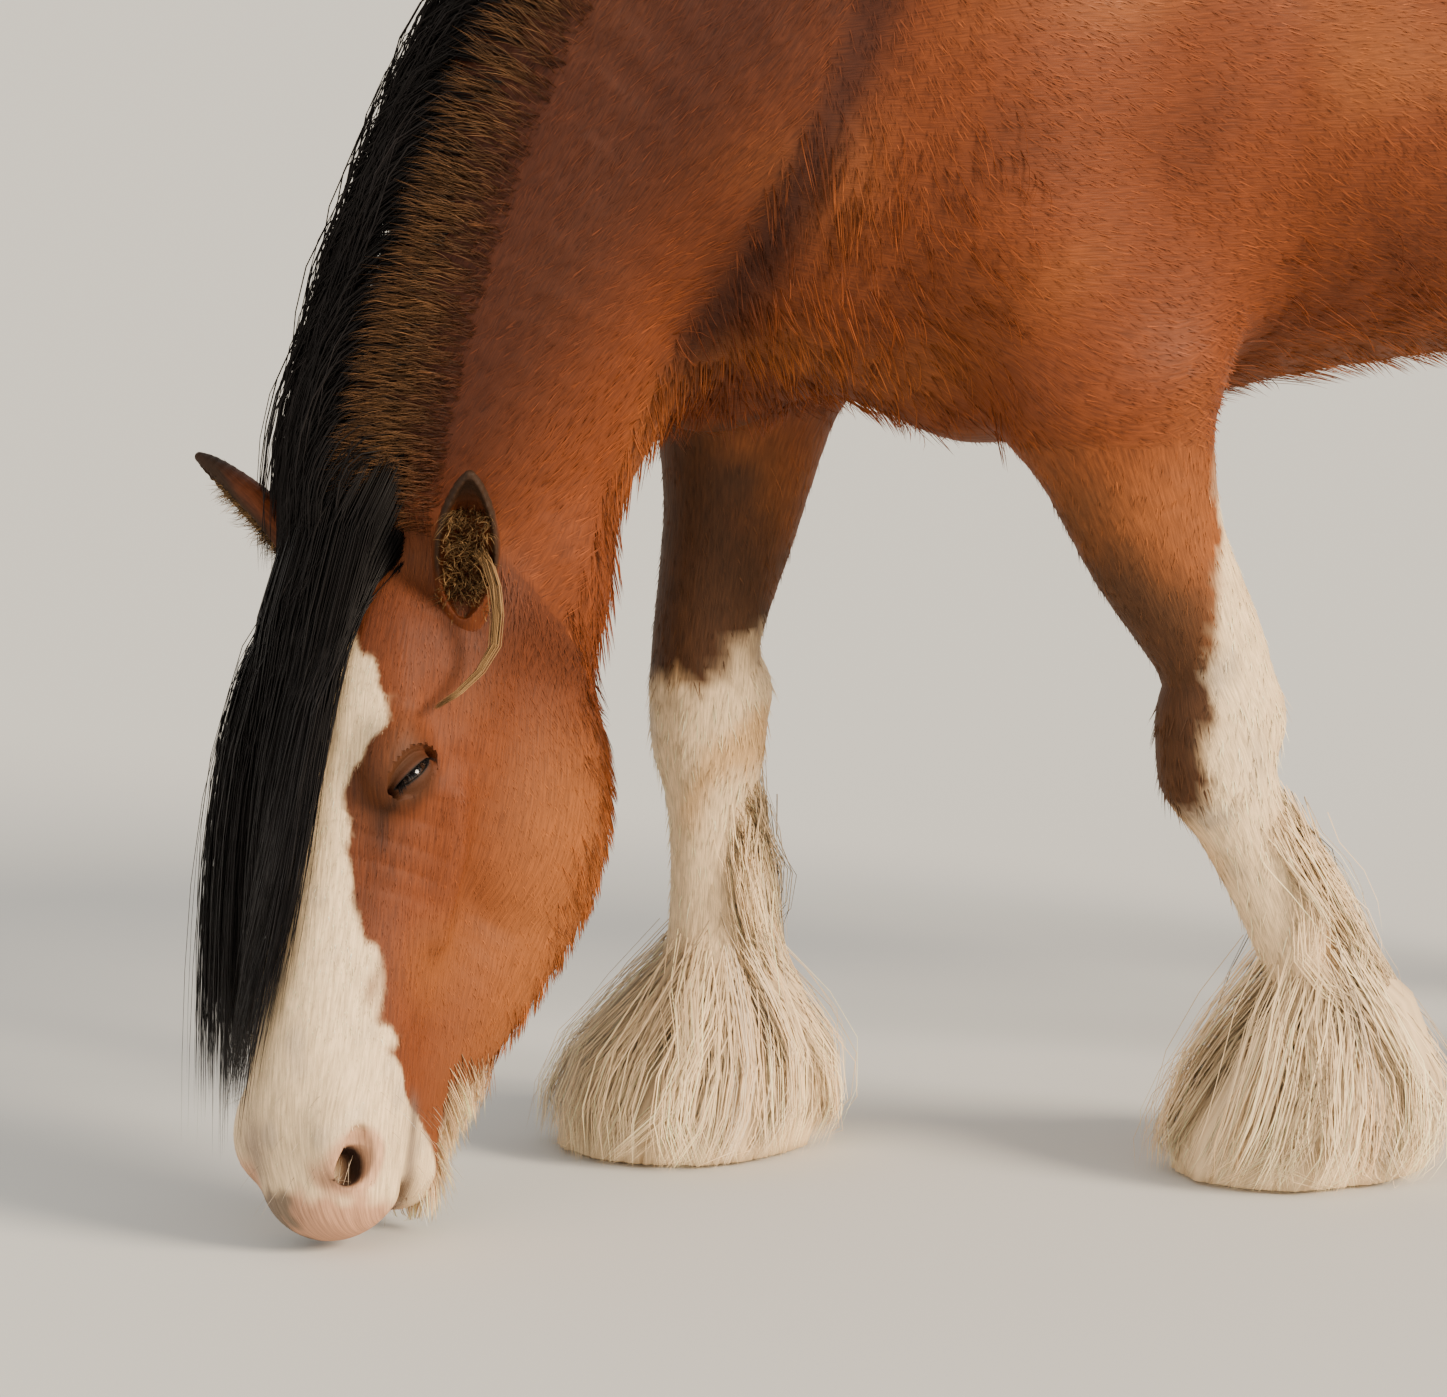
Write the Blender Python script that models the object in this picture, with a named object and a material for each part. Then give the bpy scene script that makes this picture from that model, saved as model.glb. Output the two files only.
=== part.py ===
"""Solid model of a life-size Clydesdale horse that grazes with its muzzle at the ground.

Frame: metres, +Z up, the floor at z = 0, the horse faces -X and its left side is -Y.
The flesh is one smooth implicit form, made from swept ellipses and ellipsoids that
blend into each other.  It is turned into a mesh region by region, so that the head
is finer than the trunk.  The regions meet face to face with a small gap.  The mane,
forelock, beard, tail hair and the feather of the legs are flat tapered locks that
are joined into the part that they grow from.
"""

import math
import random

import bmesh
import bpy
import numpy as np
from mathutils import Matrix, Vector

# Driving dimensions, in metres
GAP = 0.0003                  # between two parts that meet
CURVED_GAP = 0.0004           # the same where a curved part is cut clear of another
WITHERS_TOP = 1.69
HEAD_BREADTH = 1.12           # breadth and depth of the head, against the plain sizes below
HEAD_PLAIN_LENGTH = 0.75      # head length for which the sizes below are written
EYE_RADIUS = 0.024
EAR_LENGTH = 0.188
HOOF_HEIGHT = 0.095
HOOF_HALF_LENGTH = 0.105
HOOF_HALF_WIDTH = 0.098
FLOOR_CLEARANCE = 0.012       # lowest point of any lock
SIDE = {"left": 1.0, "right": -1.0}

# Places are written as forward, left, up from a point on the floor between the forefeet
POLL = np.array((0.724, -0.038, 0.756))
MUZZLE = np.array((0.866, 0.145, 0.020))
HEAD_YAW = 23.0               # degrees that the face is turned to the horse's left

# Fineness of the mesh in metres, and the triangles that are left of each region's flesh
FINENESS = {"ear": 0.0024, "head": 0.0055, "leg": 0.0095, "tail": 0.009, "neck": 0.012, "torso": 0.017}
TRIANGLES = {"ear": 250, "head": 2150, "leg_upper": 270, "leg_lower": 330, "tail": 220, "neck": 640, "torso": 1560}

COLOURS = {
    "bay": (0.28, 0.09, 0.03, 1.0),
    "black": (0.01, 0.009, 0.009, 1.0),
    "white": (0.80, 0.72, 0.60, 1.0),
    "dark": (0.05, 0.03, 0.02, 1.0),
    "horn": (0.22, 0.18, 0.13, 1.0),
    "eye": (0.01, 0.006, 0.004, 1.0),
}


def unit(vector):
    vector = np.asarray(vector, float)
    return vector / np.linalg.norm(vector)


def head_axes():
    """Down the head, out of the face, and to the horse's left, as unit vectors."""
    down = unit(MUZZLE - POLL)
    yaw = math.radians(HEAD_YAW)
    face = np.array((math.cos(yaw), math.sin(yaw), 0.0))
    face = unit(face - down * face.dot(down))
    return down, face, np.cross(face, down)


HEAD_DOWN, HEAD_FACE, HEAD_LEFT = head_axes()


HEAD_FRAME = np.array((HEAD_DOWN, HEAD_FACE, HEAD_LEFT))
HEAD_STRETCH = np.linalg.norm(MUZZLE - POLL) / HEAD_PLAIN_LENGTH


def on_head(down, face, left):
    """A place on the head, from the poll down the head, out of the face and to the left."""
    return (POLL + HEAD_DOWN * (down * HEAD_STRETCH)
            + (HEAD_FACE * face + HEAD_LEFT * left) * HEAD_BREADTH)


class Ellipsoid:
    """A form with three half sizes along three axes."""

    def __init__(self, centre, radii, axes=None):
        self.centre = np.asarray(centre, float)
        self.radii = np.asarray(radii, float)
        self.axes = np.eye(3) if axes is None else np.asarray(axes, float)

    def box(self):
        reach = np.abs(self.axes.T * self.radii).sum(axis=1)
        return self.centre - reach, self.centre + reach

    def distance(self, points):
        local = (points - self.centre) @ self.axes.T
        size = np.sqrt(((local / self.radii) ** 2).sum(axis=-1)) + 1e-9
        slope = np.sqrt(((local / self.radii ** 2) ** 2).sum(axis=-1)) + 1e-9
        return size * (size - 1.0) / slope


class Sweep:
    """An ellipse swept through stations of place, fore-and-aft half size and side half size."""

    def __init__(self, stations, side=(0.0, 1.0, 0.0), steps=4):
        table = np.array([tuple(s[0]) + (s[1], s[2]) for s in stations], float)
        self.rows = smooth_rows(table, steps)
        self.side = unit(side)

    def box(self):
        reach = self.rows[:, 3:5].max(axis=1)[:, None]
        return (self.rows[:, :3] - reach).min(axis=0), (self.rows[:, :3] + reach).max(axis=0)

    def distance(self, points):
        best = None
        for a, b in zip(self.rows[:-1], self.rows[1:]):
            along = b[:3] - a[:3]
            length = np.linalg.norm(along)
            if length < 1e-6:
                continue
            along = along / length
            side = unit(self.side - along * self.side.dot(along))
            deep = np.cross(along, side)
            offset = points - a[:3]
            share = np.clip(offset @ along / length, 0.0, 1.0)
            offset = offset - share[..., None] * (b[:3] - a[:3])
            half_deep = a[3] + (b[3] - a[3]) * share
            half_side = a[4] + (b[4] - a[4]) * share
            half_cap = np.minimum(half_deep, half_side)
            parts = (offset @ deep, offset @ side, offset @ along)
            sizes = (half_deep, half_side, half_cap)
            size = np.sqrt(sum((p / r) ** 2 for p, r in zip(parts, sizes))) + 1e-9
            slope = np.sqrt(sum((p / r ** 2) ** 2 for p, r in zip(parts, sizes))) + 1e-9
            value = size * (size - 1.0) / slope
            best = value if best is None else np.minimum(best, value)
        return best


def smooth_rows(table, steps):
    """More rows through the given ones, on a Catmull-Rom curve."""
    ends = np.vstack((2 * table[0] - table[1], table, 2 * table[-1] - table[-2]))
    rows = []
    for i in range(1, len(ends) - 2):
        p0, p1, p2, p3 = ends[i - 1:i + 3]
        for k in range(steps):
            t = k / steps
            rows.append(0.5 * (2 * p1 + (p2 - p0) * t + (2 * p0 - 5 * p1 + 4 * p2 - p3) * t * t
                               + (3 * p1 - p0 - 3 * p2 + p3) * t ** 3))
    rows.append(table[-1])
    return np.array(rows)


class Flesh:
    """Forms that blend into one; a value below zero is inside."""

    FAR = 1.0

    def __init__(self):
        self.items = []

    def add(self, form, blend):
        self.items.append((form, blend, False))

    def carve(self, form, blend):
        self.items.append((form, blend, True))

    def value(self, points):
        points = np.asarray(points, float)
        total = np.full(points.shape[:-1], self.FAR)
        for form, blend, hollow in self.items:
            low, high = form.box()
            reach = 2.0 * blend + 0.02
            near = np.all((points > low - reach) & (points < high + reach), axis=-1)
            if not near.any():
                continue
            value = form.distance(points[near])
            old = total[near]
            if hollow:
                total[near] = -blend_values(-old, value, blend)
            else:
                total[near] = blend_values(old, value, blend)
        return total

    def on_grid(self, low, step, size):
        """Values on a regular grid, each form worked out only where it can matter."""
        axes = [low[i] + step * np.arange(size[i]) for i in range(3)]
        total = np.full(tuple(size), self.FAR, np.float32)
        for form, blend, hollow in self.items:
            first, last = form.box()
            reach = 2.0 * blend + 0.02
            part = tuple(slice(int(np.searchsorted(a, f - reach)), int(np.searchsorted(a, e + reach)))
                         for a, f, e in zip(axes, first, last))
            if any(p.start >= p.stop for p in part):
                continue
            grid = np.stack(np.meshgrid(*[a[p] for a, p in zip(axes, part)], indexing="ij"), -1)
            value = form.distance(grid.astype(np.float32))
            old = total[part]
            total[part] = -blend_values(-old, value, blend) if hollow else blend_values(old, value, blend)
        return total

    def slope(self, points):
        step = 0.002
        columns = []
        for axis in range(3):
            shift = np.zeros(3)
            shift[axis] = step
            columns.append(self.value(points + shift) - self.value(points - shift))
        slope = np.stack(columns, axis=-1)
        return slope / (np.linalg.norm(slope, axis=-1, keepdims=True) + 1e-9)


def blend_values(a, b, blend):
    share = np.clip(0.5 + 0.5 * (a - b) / blend, 0.0, 1.0)
    return a * (1 - share) + b * share - blend * share * (1 - share)


# The trunk, from the breast to the buttocks: forward, top, bottom and half width
TRUNK = (
    (0.345, 1.27, 0.985, 0.16),
    (0.24, 1.44, 0.890, 0.24),
    (0.10, 1.58, 0.855, 0.280),
    (-0.08, WITHERS_TOP - 0.03, 0.850, 0.300),
    (-0.28, 1.625, 0.885, 0.340),
    (-0.52, 1.590, 0.950, 0.365),
    (-0.76, 1.615, 0.995, 0.350),
    (-0.98, 1.670, 1.040, 0.325),
    (-1.17, 1.625, 1.060, 0.285),
    (-1.31, 1.520, 1.120, 0.210),
)

# The neck: place, half depth and half width
NECK = (
    ((0.06, 0.0, 1.340), 0.30, 0.215),
    ((0.27, 0.0, 1.315), 0.285, 0.180),
    ((0.435, 0.0, 1.180), 0.228, 0.145),
    ((0.540, -0.008, 1.020), 0.186, 0.125),
    ((0.598, -0.022, 0.885), 0.165, 0.112),
    ((0.632, -0.034, 0.780), 0.150, 0.102),
)

# Where the legs stand: centre of the hoof, forward and left
FOREFOOT = {"left": (-0.260, 0.190), "right": (0.345, -0.185)}
HINDFOOT = {"left": (-0.985, 0.190), "right": (-1.310, -0.190)}

# The foreleg's joints, forward of the hoof's centre and up
ELBOW = {"left": (-0.030, 0.215, 0.900), "right": (0.225, -0.205, 0.905)}
KNEE = {"left": (-0.172, 0.198, 0.520), "right": (0.285, -0.192, 0.520)}
FETLOCK_BACK = 0.065
FETLOCK_HEIGHT = 0.195
STIFLE = {"left": (-0.900, 0.235, 1.010), "right": (-0.985, -0.230, 1.000)}
HOCK = {"left": (-1.135, 0.205, 0.600), "right": (-1.425, -0.200, 0.580)}

# Levels at which the legs are divided
FORE_CUT = 0.800
KNEE_CUT = 0.470
THIGH_CUT = 0.900
HOCK_CUT = 0.540


def fetlock(foot):
    return np.array((foot[0] - FETLOCK_BACK, foot[1], FETLOCK_HEIGHT))


def add_trunk(flesh):
    rows = [((f, 0.0, (top + low) / 2), (top - low) / 2, half) for f, top, low, half in TRUNK]
    flesh.add(Sweep(rows), 0.05)
    # Withers and the ridge of the back
    flesh.add(Sweep((((0.08, 0, 1.57), 0.07, 0.07), ((-0.06, 0, WITHERS_TOP - 0.075), 0.072, 0.075),
                     ((-0.30, 0, 1.555), 0.06, 0.08))), 0.10)
    for sign in SIDE.values():
        # Point of the hip, rump and buttock
        flesh.add(Ellipsoid((-0.93, sign * 0.235, 1.48), (0.12, 0.085, 0.10)), 0.12)
        flesh.add(Ellipsoid((-1.12, sign * 0.165, 1.42), (0.24, 0.165, 0.21)), 0.10)
        # Barrel
        flesh.add(Ellipsoid((-0.55, sign * 0.11, 1.205), (0.42, 0.275, 0.255)), 0.12)


def add_neck(flesh):
    flesh.add(Sweep(NECK), 0.07)
    # Crest of the neck
    crest = [np.array(c) + crest_direction(c) * (deep - 0.055) for c, deep, _ in NECK[1:]]
    flesh.add(Sweep([(c, 0.060, 0.050) for c in crest]), 0.06)
    # Windpipe at the lower edge
    throat = [np.array(c) - crest_direction(c) * (deep - 0.070) for c, deep, _ in NECK[2:]]
    flesh.add(Sweep([(c, 0.062, 0.055) for c in throat]), 0.06)


def crest_direction(place):
    """Across the neck towards its crest, at a place on its middle line."""
    centres = np.array([c for c, _, _ in NECK])
    i = int(np.argmin(np.linalg.norm(centres - np.asarray(place), axis=1)))
    along = unit(centres[min(i + 1, len(centres) - 1)] - centres[max(i - 1, 0)])
    return np.array((-along[2], 0.0, along[0]))


def add_foreleg(flesh, name):
    sign = SIDE[name]
    elbow = np.array(ELBOW[name])
    knee = np.array(KNEE[name])
    foot = FOREFOOT[name]
    ankle = fetlock(foot)
    reach = elbow[0]
    # Shoulder blade, point of the shoulder and upper arm
    point = np.array((reach + 0.115, sign * 0.175, 1.12))
    flesh.add(Sweep((((-0.03, sign * 0.135, 1.52), 0.10, 0.085), ((0.08, sign * 0.185, 1.32), 0.13, 0.105),
                     (point, 0.115, 0.105))), 0.09)
    flesh.add(Sweep(((point, 0.105, 0.095), (elbow + (0.02, -sign * 0.01, 0.03), 0.115, 0.085))), 0.07)
    flesh.add(Sweep((((-0.13, sign * 0.195, 1.31), 0.10, 0.085),
                     (elbow + (-0.045, 0.0, 0.05), 0.085, 0.075))), 0.09)
    # Breast muscle on the inner side
    flesh.add(Ellipsoid((reach + 0.10, sign * 0.085, 0.98), (0.125, 0.085, 0.14)), 0.07)
    # Forearm
    middle = elbow * 0.55 + knee * 0.45
    flesh.add(Sweep(((elbow, 0.120, 0.088), (elbow * 0.8 + knee * 0.2, 0.105, 0.078),
                     (middle, 0.086, 0.066), (knee + (0.0, 0.0, 0.075), 0.068, 0.060),
                     (knee, 0.072, 0.066), (knee - (0.0, 0.0, 0.055), 0.060, 0.056))), 0.05)
    # Pisiform bone behind the knee
    flesh.add(Ellipsoid(knee + (-0.055, sign * 0.012, 0.005), (0.030, 0.026, 0.042)), 0.035)
    add_lower_leg(flesh, knee - (0.0, 0.0, 0.05), ankle, foot)


def add_lower_leg(flesh, top, ankle, foot):
    """Cannon with its tendons, fetlock and pastern, with a coat of long hair on them."""
    middle = (top + ankle) / 2
    flesh.add(Sweep(((top, 0.060, 0.053), (middle, 0.053, 0.045), (ankle, 0.063, 0.058))), 0.03)
    flesh.add(Sweep(((top + (-0.030, 0, 0), 0.032, 0.032), (middle + (-0.034, 0, 0), 0.030, 0.030),
                     (ankle + (-0.045, 0, -0.010), 0.045, 0.048))), 0.03)
    hoof_top = np.array((foot[0] - 0.012, foot[1], HOOF_HEIGHT))
    flesh.add(Sweep(((ankle, 0.060, 0.056), (ankle * 0.5 + hoof_top * 0.5, 0.062, 0.062),
                     (hoof_top + (0, 0, 0.012), 0.078, 0.078), (hoof_top - (0, 0, 0.03), 0.080, 0.080))), 0.03)


def add_hind_leg(flesh, name):
    sign = SIDE[name]
    stifle = np.array(STIFLE[name])
    hock = np.array(HOCK[name])
    foot = HINDFOOT[name]
    ankle = fetlock(foot)
    shift = hock[0] - HOCK["left"][0]
    # Thigh
    flesh.add(Sweep((((-1.06, sign * 0.190, 1.36), 0.24, 0.125),
                     ((-1.075 + 0.25 * shift, sign * 0.215, 1.17), 0.235, 0.120),
                     (stifle * 0.62 + hock * 0.38 + (-0.035, 0, 0.10), 0.165, 0.098))), 0.08)
    flesh.add(Ellipsoid(stifle + (0.015, -sign * 0.01, 0.03), (0.085, 0.080, 0.120)), 0.07)
    # Hamstrings behind the thigh
    flesh.add(Sweep((((-1.30, sign * 0.120, 1.38), 0.085, 0.085),
                     ((-1.315 + 0.3 * shift, sign * 0.165, 1.16), 0.080, 0.080),
                     (stifle * 0.35 + hock * 0.65 + (-0.09, 0, 0.11), 0.050, 0.048))), 0.07)
    # Gaskin and hock
    flesh.add(Sweep(((stifle * 0.7 + hock * 0.3 + (-0.02, 0, 0.03), 0.130, 0.088),
                     (stifle * 0.35 + hock * 0.65, 0.092, 0.070),
                     (hock + (0.010, 0, 0.050), 0.074, 0.062), (hock + (0.010, 0, -0.010), 0.076, 0.063),
                     (hock + (0.012, 0, -0.075), 0.062, 0.056))), 0.05)
    flesh.add(Sweep(((hock + (-0.082, 0, 0.075), 0.026, 0.028), (hock + (-0.045, 0, -0.02), 0.036, 0.034))), 0.035)
    flesh.add(Sweep(((stifle * 0.35 + hock * 0.65 + (-0.075, 0, 0.06), 0.030, 0.026),
                     (hock + (-0.080, 0, 0.080), 0.026, 0.026))), 0.04)
    add_lower_leg(flesh, hock + (0.012, 0.0, -0.070), ankle, foot)


# The head: down from the poll, then out of the face, half depth and half width
SKULL = (
    (0.015, -0.070, 0.062, 0.078),
    (0.090, -0.055, 0.098, 0.102),
    (0.190, -0.042, 0.118, 0.110),
    (0.290, -0.028, 0.106, 0.097),
    (0.400, -0.012, 0.090, 0.080),
    (0.520, 0.004, 0.084, 0.077),
    (0.620, 0.009, 0.081, 0.081),
    (0.690, 0.002, 0.065, 0.069),
)
JAW = (
    (0.110, -0.165, 0.098, 0.074),
    (0.210, -0.182, 0.118, 0.082),
    (0.300, -0.182, 0.121, 0.082),
    (0.400, -0.155, 0.103, 0.074),
    (0.500, -0.115, 0.082, 0.062),
    (0.600, -0.080, 0.056, 0.052),
    (0.668, -0.076, 0.038, 0.044),
)
EYE_PLACE = (0.270, 0.020, 0.094)
NOSTRIL_PLACE = (0.664, 0.036, 0.062)


def head_sweep(rows):
    """A swept ellipse on the head's middle line: down, out of the face, half depth, half width."""
    return Sweep([(on_head(d, f, 0.0), deep * HEAD_BREADTH, wide * HEAD_BREADTH) for d, f, deep, wide in rows],
                 side=HEAD_LEFT)


def head_string(rows, sign):
    """A round form beside the middle line: down, out of the face, to the side, half size."""
    return Sweep([(on_head(d, f, sign * w), size * HEAD_BREADTH, size * HEAD_BREADTH) for d, f, w, size in rows])


def head_ball(down, face, left, radii):
    """An ellipsoid on the head, with its sizes down, out of the face and to the side."""
    return Ellipsoid(on_head(down, face, left), np.array(radii) * HEAD_BREADTH, HEAD_FRAME)


def add_head(flesh):
    flesh.add(head_sweep(SKULL), 0.04)
    flesh.add(head_sweep(JAW), 0.045)
    # Throat between the jaw and the neck
    flesh.add(Ellipsoid((0.562, -0.018, 0.690), (0.088, 0.080, 0.125)), 0.06)
    # Broad top of the skull and the bridge of the nose
    flesh.add(head_ball(0.17, 0.030, 0, (0.12, 0.045, 0.085)), 0.04)
    flesh.add(head_sweep(((0.28, 0.055, 0.025, 0.042), (0.42, 0.057, 0.025, 0.042), (0.56, 0.054, 0.025, 0.042))), 0.03)
    for sign in SIDE.values():
        # Cheek muscle, cheek crest and temple
        flesh.add(head_ball(0.255, -0.150, sign * 0.066, (0.125, 0.095, 0.038)), 0.03)
        flesh.add(head_string(((0.285, -0.030, 0.094, 0.014), (0.350, -0.042, 0.086, 0.013),
                               (0.430, -0.044, 0.070, 0.011)), sign), 0.03)
        flesh.add(head_ball(0.060, -0.070, sign * 0.075, (0.055, 0.050, 0.035)), 0.04)
        # Ring of bone round the eye, with its brow
        down, out, left = EYE_PLACE
        flesh.add(head_ball(down - 0.012, out + 0.012, sign * (left - 0.012), (0.046, 0.036, 0.028)), 0.025)
        # Hollow above the eye
        flesh.carve(head_ball(down - 0.075, out - 0.012, sign * (left + 0.034), (0.030, 0.022, 0.020)), 0.03)
        # Wing of the nostril
        flesh.add(head_ball(0.648, 0.032, sign * 0.056, (0.052, 0.042, 0.031)), 0.02)
    # Upper lip, lower lip and chin
    flesh.add(head_ball(0.700, -0.006, 0, (0.036, 0.050, 0.062)), 0.025)
    flesh.add(head_ball(0.672, -0.086, 0, (0.040, 0.032, 0.046)), 0.02)


def carve_head(flesh):
    for sign in SIDE.values():
        # Opening of the nostril, with its comma shape
        down, out, left = NOSTRIL_PLACE
        flesh.carve(head_string(((down - 0.022, out + 0.004, left + 0.026, 0.008),
                                 (down, out + 0.002, left + 0.022, 0.015),
                                 (down + 0.008, out - 0.004, left - 0.008, 0.011)), sign), 0.008)
        # Line of the mouth
        flesh.carve(head_string(((0.590, -0.048, 0.082, 0.006), (0.640, -0.053, 0.070, 0.006),
                                 (0.690, -0.057, 0.052, 0.006), (0.712, -0.059, 0.0, 0.006)), sign), 0.008)
        # Slit between the lids
        down, out, left = EYE_PLACE
        flesh.carve(head_string(((down - 0.016, out - 0.012, left + 0.010, 0.006),
                                 (down, out + 0.001, left + 0.018, 0.008),
                                 (down + 0.018, out + 0.008, left + 0.010, 0.006)), sign), 0.005)


def eye_centre(name):
    """The eyeball lies just under the lids."""
    down, out, left = EYE_PLACE
    return on_head(down, out, SIDE[name] * (left - 0.010))


# Root of the tail and the tail bone below it: place, half depth and half width
TAIL_ROOT = (((-1.24, 0, 1.525), 0.060, 0.065), ((-1.320, 0, 1.505), 0.050, 0.055), ((-1.395, 0, 1.480), 0.045, 0.048))
TAIL_BONE = (((-1.32, 0, 1.505), 0.050, 0.055), ((-1.395, 0, 1.480), 0.045, 0.048), ((-1.450, 0, 1.370), 0.040, 0.044),
             ((-1.470, 0, 1.200), 0.034, 0.038), ((-1.480, 0, 1.020), 0.042, 0.046), ((-1.485, 0, 0.860), 0.022, 0.025))


def build_flesh():
    flesh = Flesh()
    add_trunk(flesh)
    add_neck(flesh)
    add_head(flesh)
    for name in SIDE:
        add_foreleg(flesh, name)
        add_hind_leg(flesh, name)
    flesh.add(Sweep(TAIL_ROOT), 0.04)
    carve_head(flesh)
    return flesh


CORNERS = np.array([(i, j, k) for i in (0, 1) for j in (0, 1) for k in (0, 1)])
EDGES = [(a, b) for a in range(8) for b in range(a + 1, 8)
         if np.abs(CORNERS[a] - CORNERS[b]).sum() == 1]


def settle(values):
    """Flip the weakest corner of each face whose signs alternate, so that the net stays closed."""
    shape = values.shape
    for _ in range(12):
        found = 0
        for axis in range(3):
            u, v = (axis + 1) % 3, (axis + 2) % 3
            corners = []
            for du, dv in ((0, 0), (1, 0), (1, 1), (0, 1)):
                part = [slice(None)] * 3
                part[u] = slice(du, shape[u] - 1 + du)
                part[v] = slice(dv, shape[v] - 1 + dv)
                corners.append(values[tuple(part)])
            a, b, c, d = [x < 0 for x in corners]
            places = np.argwhere((a == c) & (b == d) & (a != b))
            found += len(places)
            for spot in places:
                options = []
                for du, dv in ((0, 0), (1, 0), (1, 1), (0, 1)):
                    corner = list(spot)
                    corner[u] += du
                    corner[v] += dv
                    options.append(tuple(corner))
                weak = min(options, key=lambda o: abs(values[o]))
                values[weak] = -values[weak] if abs(values[weak]) > 1e-6 else 1e-6
        if not found:
            break


def surface_net(values, origin, step):
    """Closed quads where the values on a grid change sign, one vertex to each mixed cell."""
    shape = values.shape
    inside = values < 0
    count = np.zeros([n - 1 for n in shape], int)
    for i, j, k in CORNERS:
        count += inside[i:shape[0] - 1 + i, j:shape[1] - 1 + j, k:shape[2] - 1 + k]
    cells = np.argwhere((count > 0) & (count < 8))
    index = np.full(count.shape, -1)
    index[tuple(cells.T)] = np.arange(len(cells))
    corner_values = np.stack([values[tuple((cells + c).T)] for c in CORNERS], axis=1)
    total = np.zeros((len(cells), 3))
    hits = np.zeros(len(cells))
    for a, b in EDGES:
        va, vb = corner_values[:, a], corner_values[:, b]
        cross = (va < 0) != (vb < 0)
        share = np.where(cross, va / np.where(cross, va - vb, 1.0), 0.0)[:, None]
        total += np.where(cross[:, None], CORNERS[a] + share * (CORNERS[b] - CORNERS[a]), 0.0)
        hits += cross
    points = origin + (cells + total / hits[:, None]) * step
    quads = []
    for axis in range(3):
        u, v = (axis + 1) % 3, (axis + 2) % 3
        low = np.argwhere(np.take(inside, range(shape[axis] - 1), axis)
                          != np.take(inside, range(1, shape[axis]), axis))
        low = low[(low[:, u] > 0) & (low[:, v] > 0) & (low[:, u] < shape[u] - 1) & (low[:, v] < shape[v] - 1)]
        around = []
        for du, dv in ((0, 0), (1, 0), (1, 1), (0, 1)):
            cell = low.copy()
            cell[:, u] -= du
            cell[:, v] -= dv
            around.append(index[tuple(cell.T)])
        quad = np.stack(around, axis=1)
        flip = ~inside[tuple(low.T)]
        quad[flip] = quad[flip][:, ::-1]
        quads.append(quad)
    return points, np.vstack(quads)


def place(points):
    """From forward, left, up to the frame's x, y, z."""
    points = np.asarray(points, float)
    return points * (-1.0, -1.0, 1.0)


def make_object(name, points, faces):
    mesh = bpy.data.meshes.new(name)
    mesh.from_pydata([tuple(p) for p in place(points)], [], [tuple(int(i) for i in f) for f in faces])
    obj = bpy.data.objects.new(name, mesh)
    bpy.context.scene.collection.objects.link(obj)
    return obj


def region(name, flesh, low, high, step, budget):
    """The flesh inside a box, as a mesh of about the given number of triangles."""
    low, high = np.asarray(low, float), np.asarray(high, float)
    size = np.ceil((high - low) / step).astype(int) + 1
    values = flesh.on_grid(low, step, size)
    for axis in range(3):
        for end in (0, -1):
            edge = [slice(None)] * 3
            edge[axis] = end
            values[tuple(edge)] = np.maximum(values[tuple(edge)], 0.5 * step)
    settle(values)
    points, quads = surface_net(values, low, step)
    obj = make_object(name, points, quads)
    keep_largest(obj.data)
    shrink(obj, budget)
    return obj


def shrink(obj, budget):
    """Fewer triangles, the flat stretches first."""
    triangles = sum(len(p.vertices) - 2 for p in obj.data.polygons)
    modifier = obj.modifiers.new("Fewer", "DECIMATE")
    modifier.ratio = min(1.0, budget / triangles)
    modifier.use_collapse_triangulate = True
    apply_modifiers(obj)


def apply_modifiers(obj):
    bpy.context.view_layer.update()
    mesh = bpy.data.meshes.new_from_object(obj.evaluated_get(bpy.context.evaluated_depsgraph_get()))
    obj.modifiers.clear()
    old = obj.data
    obj.data = mesh
    bpy.data.meshes.remove(old)


def keep_largest(mesh):
    """Drop every loose scrap but the largest closed surface."""
    work = bmesh.new()
    work.from_mesh(mesh)
    left = set(work.verts)
    groups = []
    while left:
        seed = left.pop()
        group = [seed]
        stack = [seed]
        while stack:
            for edge in stack.pop().link_edges:
                for vert in edge.verts:
                    if vert in left:
                        left.remove(vert)
                        group.append(vert)
                        stack.append(vert)
        groups.append(group)
    groups.sort(key=volume_of, reverse=True)
    loose = [v for g in groups[1:] for v in g]
    bmesh.ops.delete(work, geom=loose, context="VERTS")
    work.to_mesh(mesh)
    work.free()


def volume_of(group):
    faces = {f for v in group for f in v.link_faces}
    total = 0.0
    for face in faces:
        first = face.verts[0].co
        for a, b in zip(face.verts[1:-1], face.verts[2:]):
            total += first.dot(a.co.cross(b.co)) / 6.0
    return abs(total)


def slice_off(obj, point, normal):
    """Cut a mesh by a plane, drop the side the normal points to and close the cut."""
    work = bmesh.new()
    work.from_mesh(obj.data)
    where = Vector(place(point))
    out = Vector(place(normal))
    result = bmesh.ops.bisect_plane(work, geom=work.verts[:] + work.edges[:] + work.faces[:], dist=1e-6,
                                    plane_co=where, plane_no=out, clear_outer=True)
    edges = [e for e in result["geom_cut"] if isinstance(e, bmesh.types.BMEdge)]
    bmesh.ops.triangle_fill(work, edges=edges, use_beauty=True, use_dissolve=False)
    bmesh.ops.recalc_face_normals(work, faces=work.faces[:])
    work.to_mesh(obj.data)
    work.free()
    keep_largest(obj.data)


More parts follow.
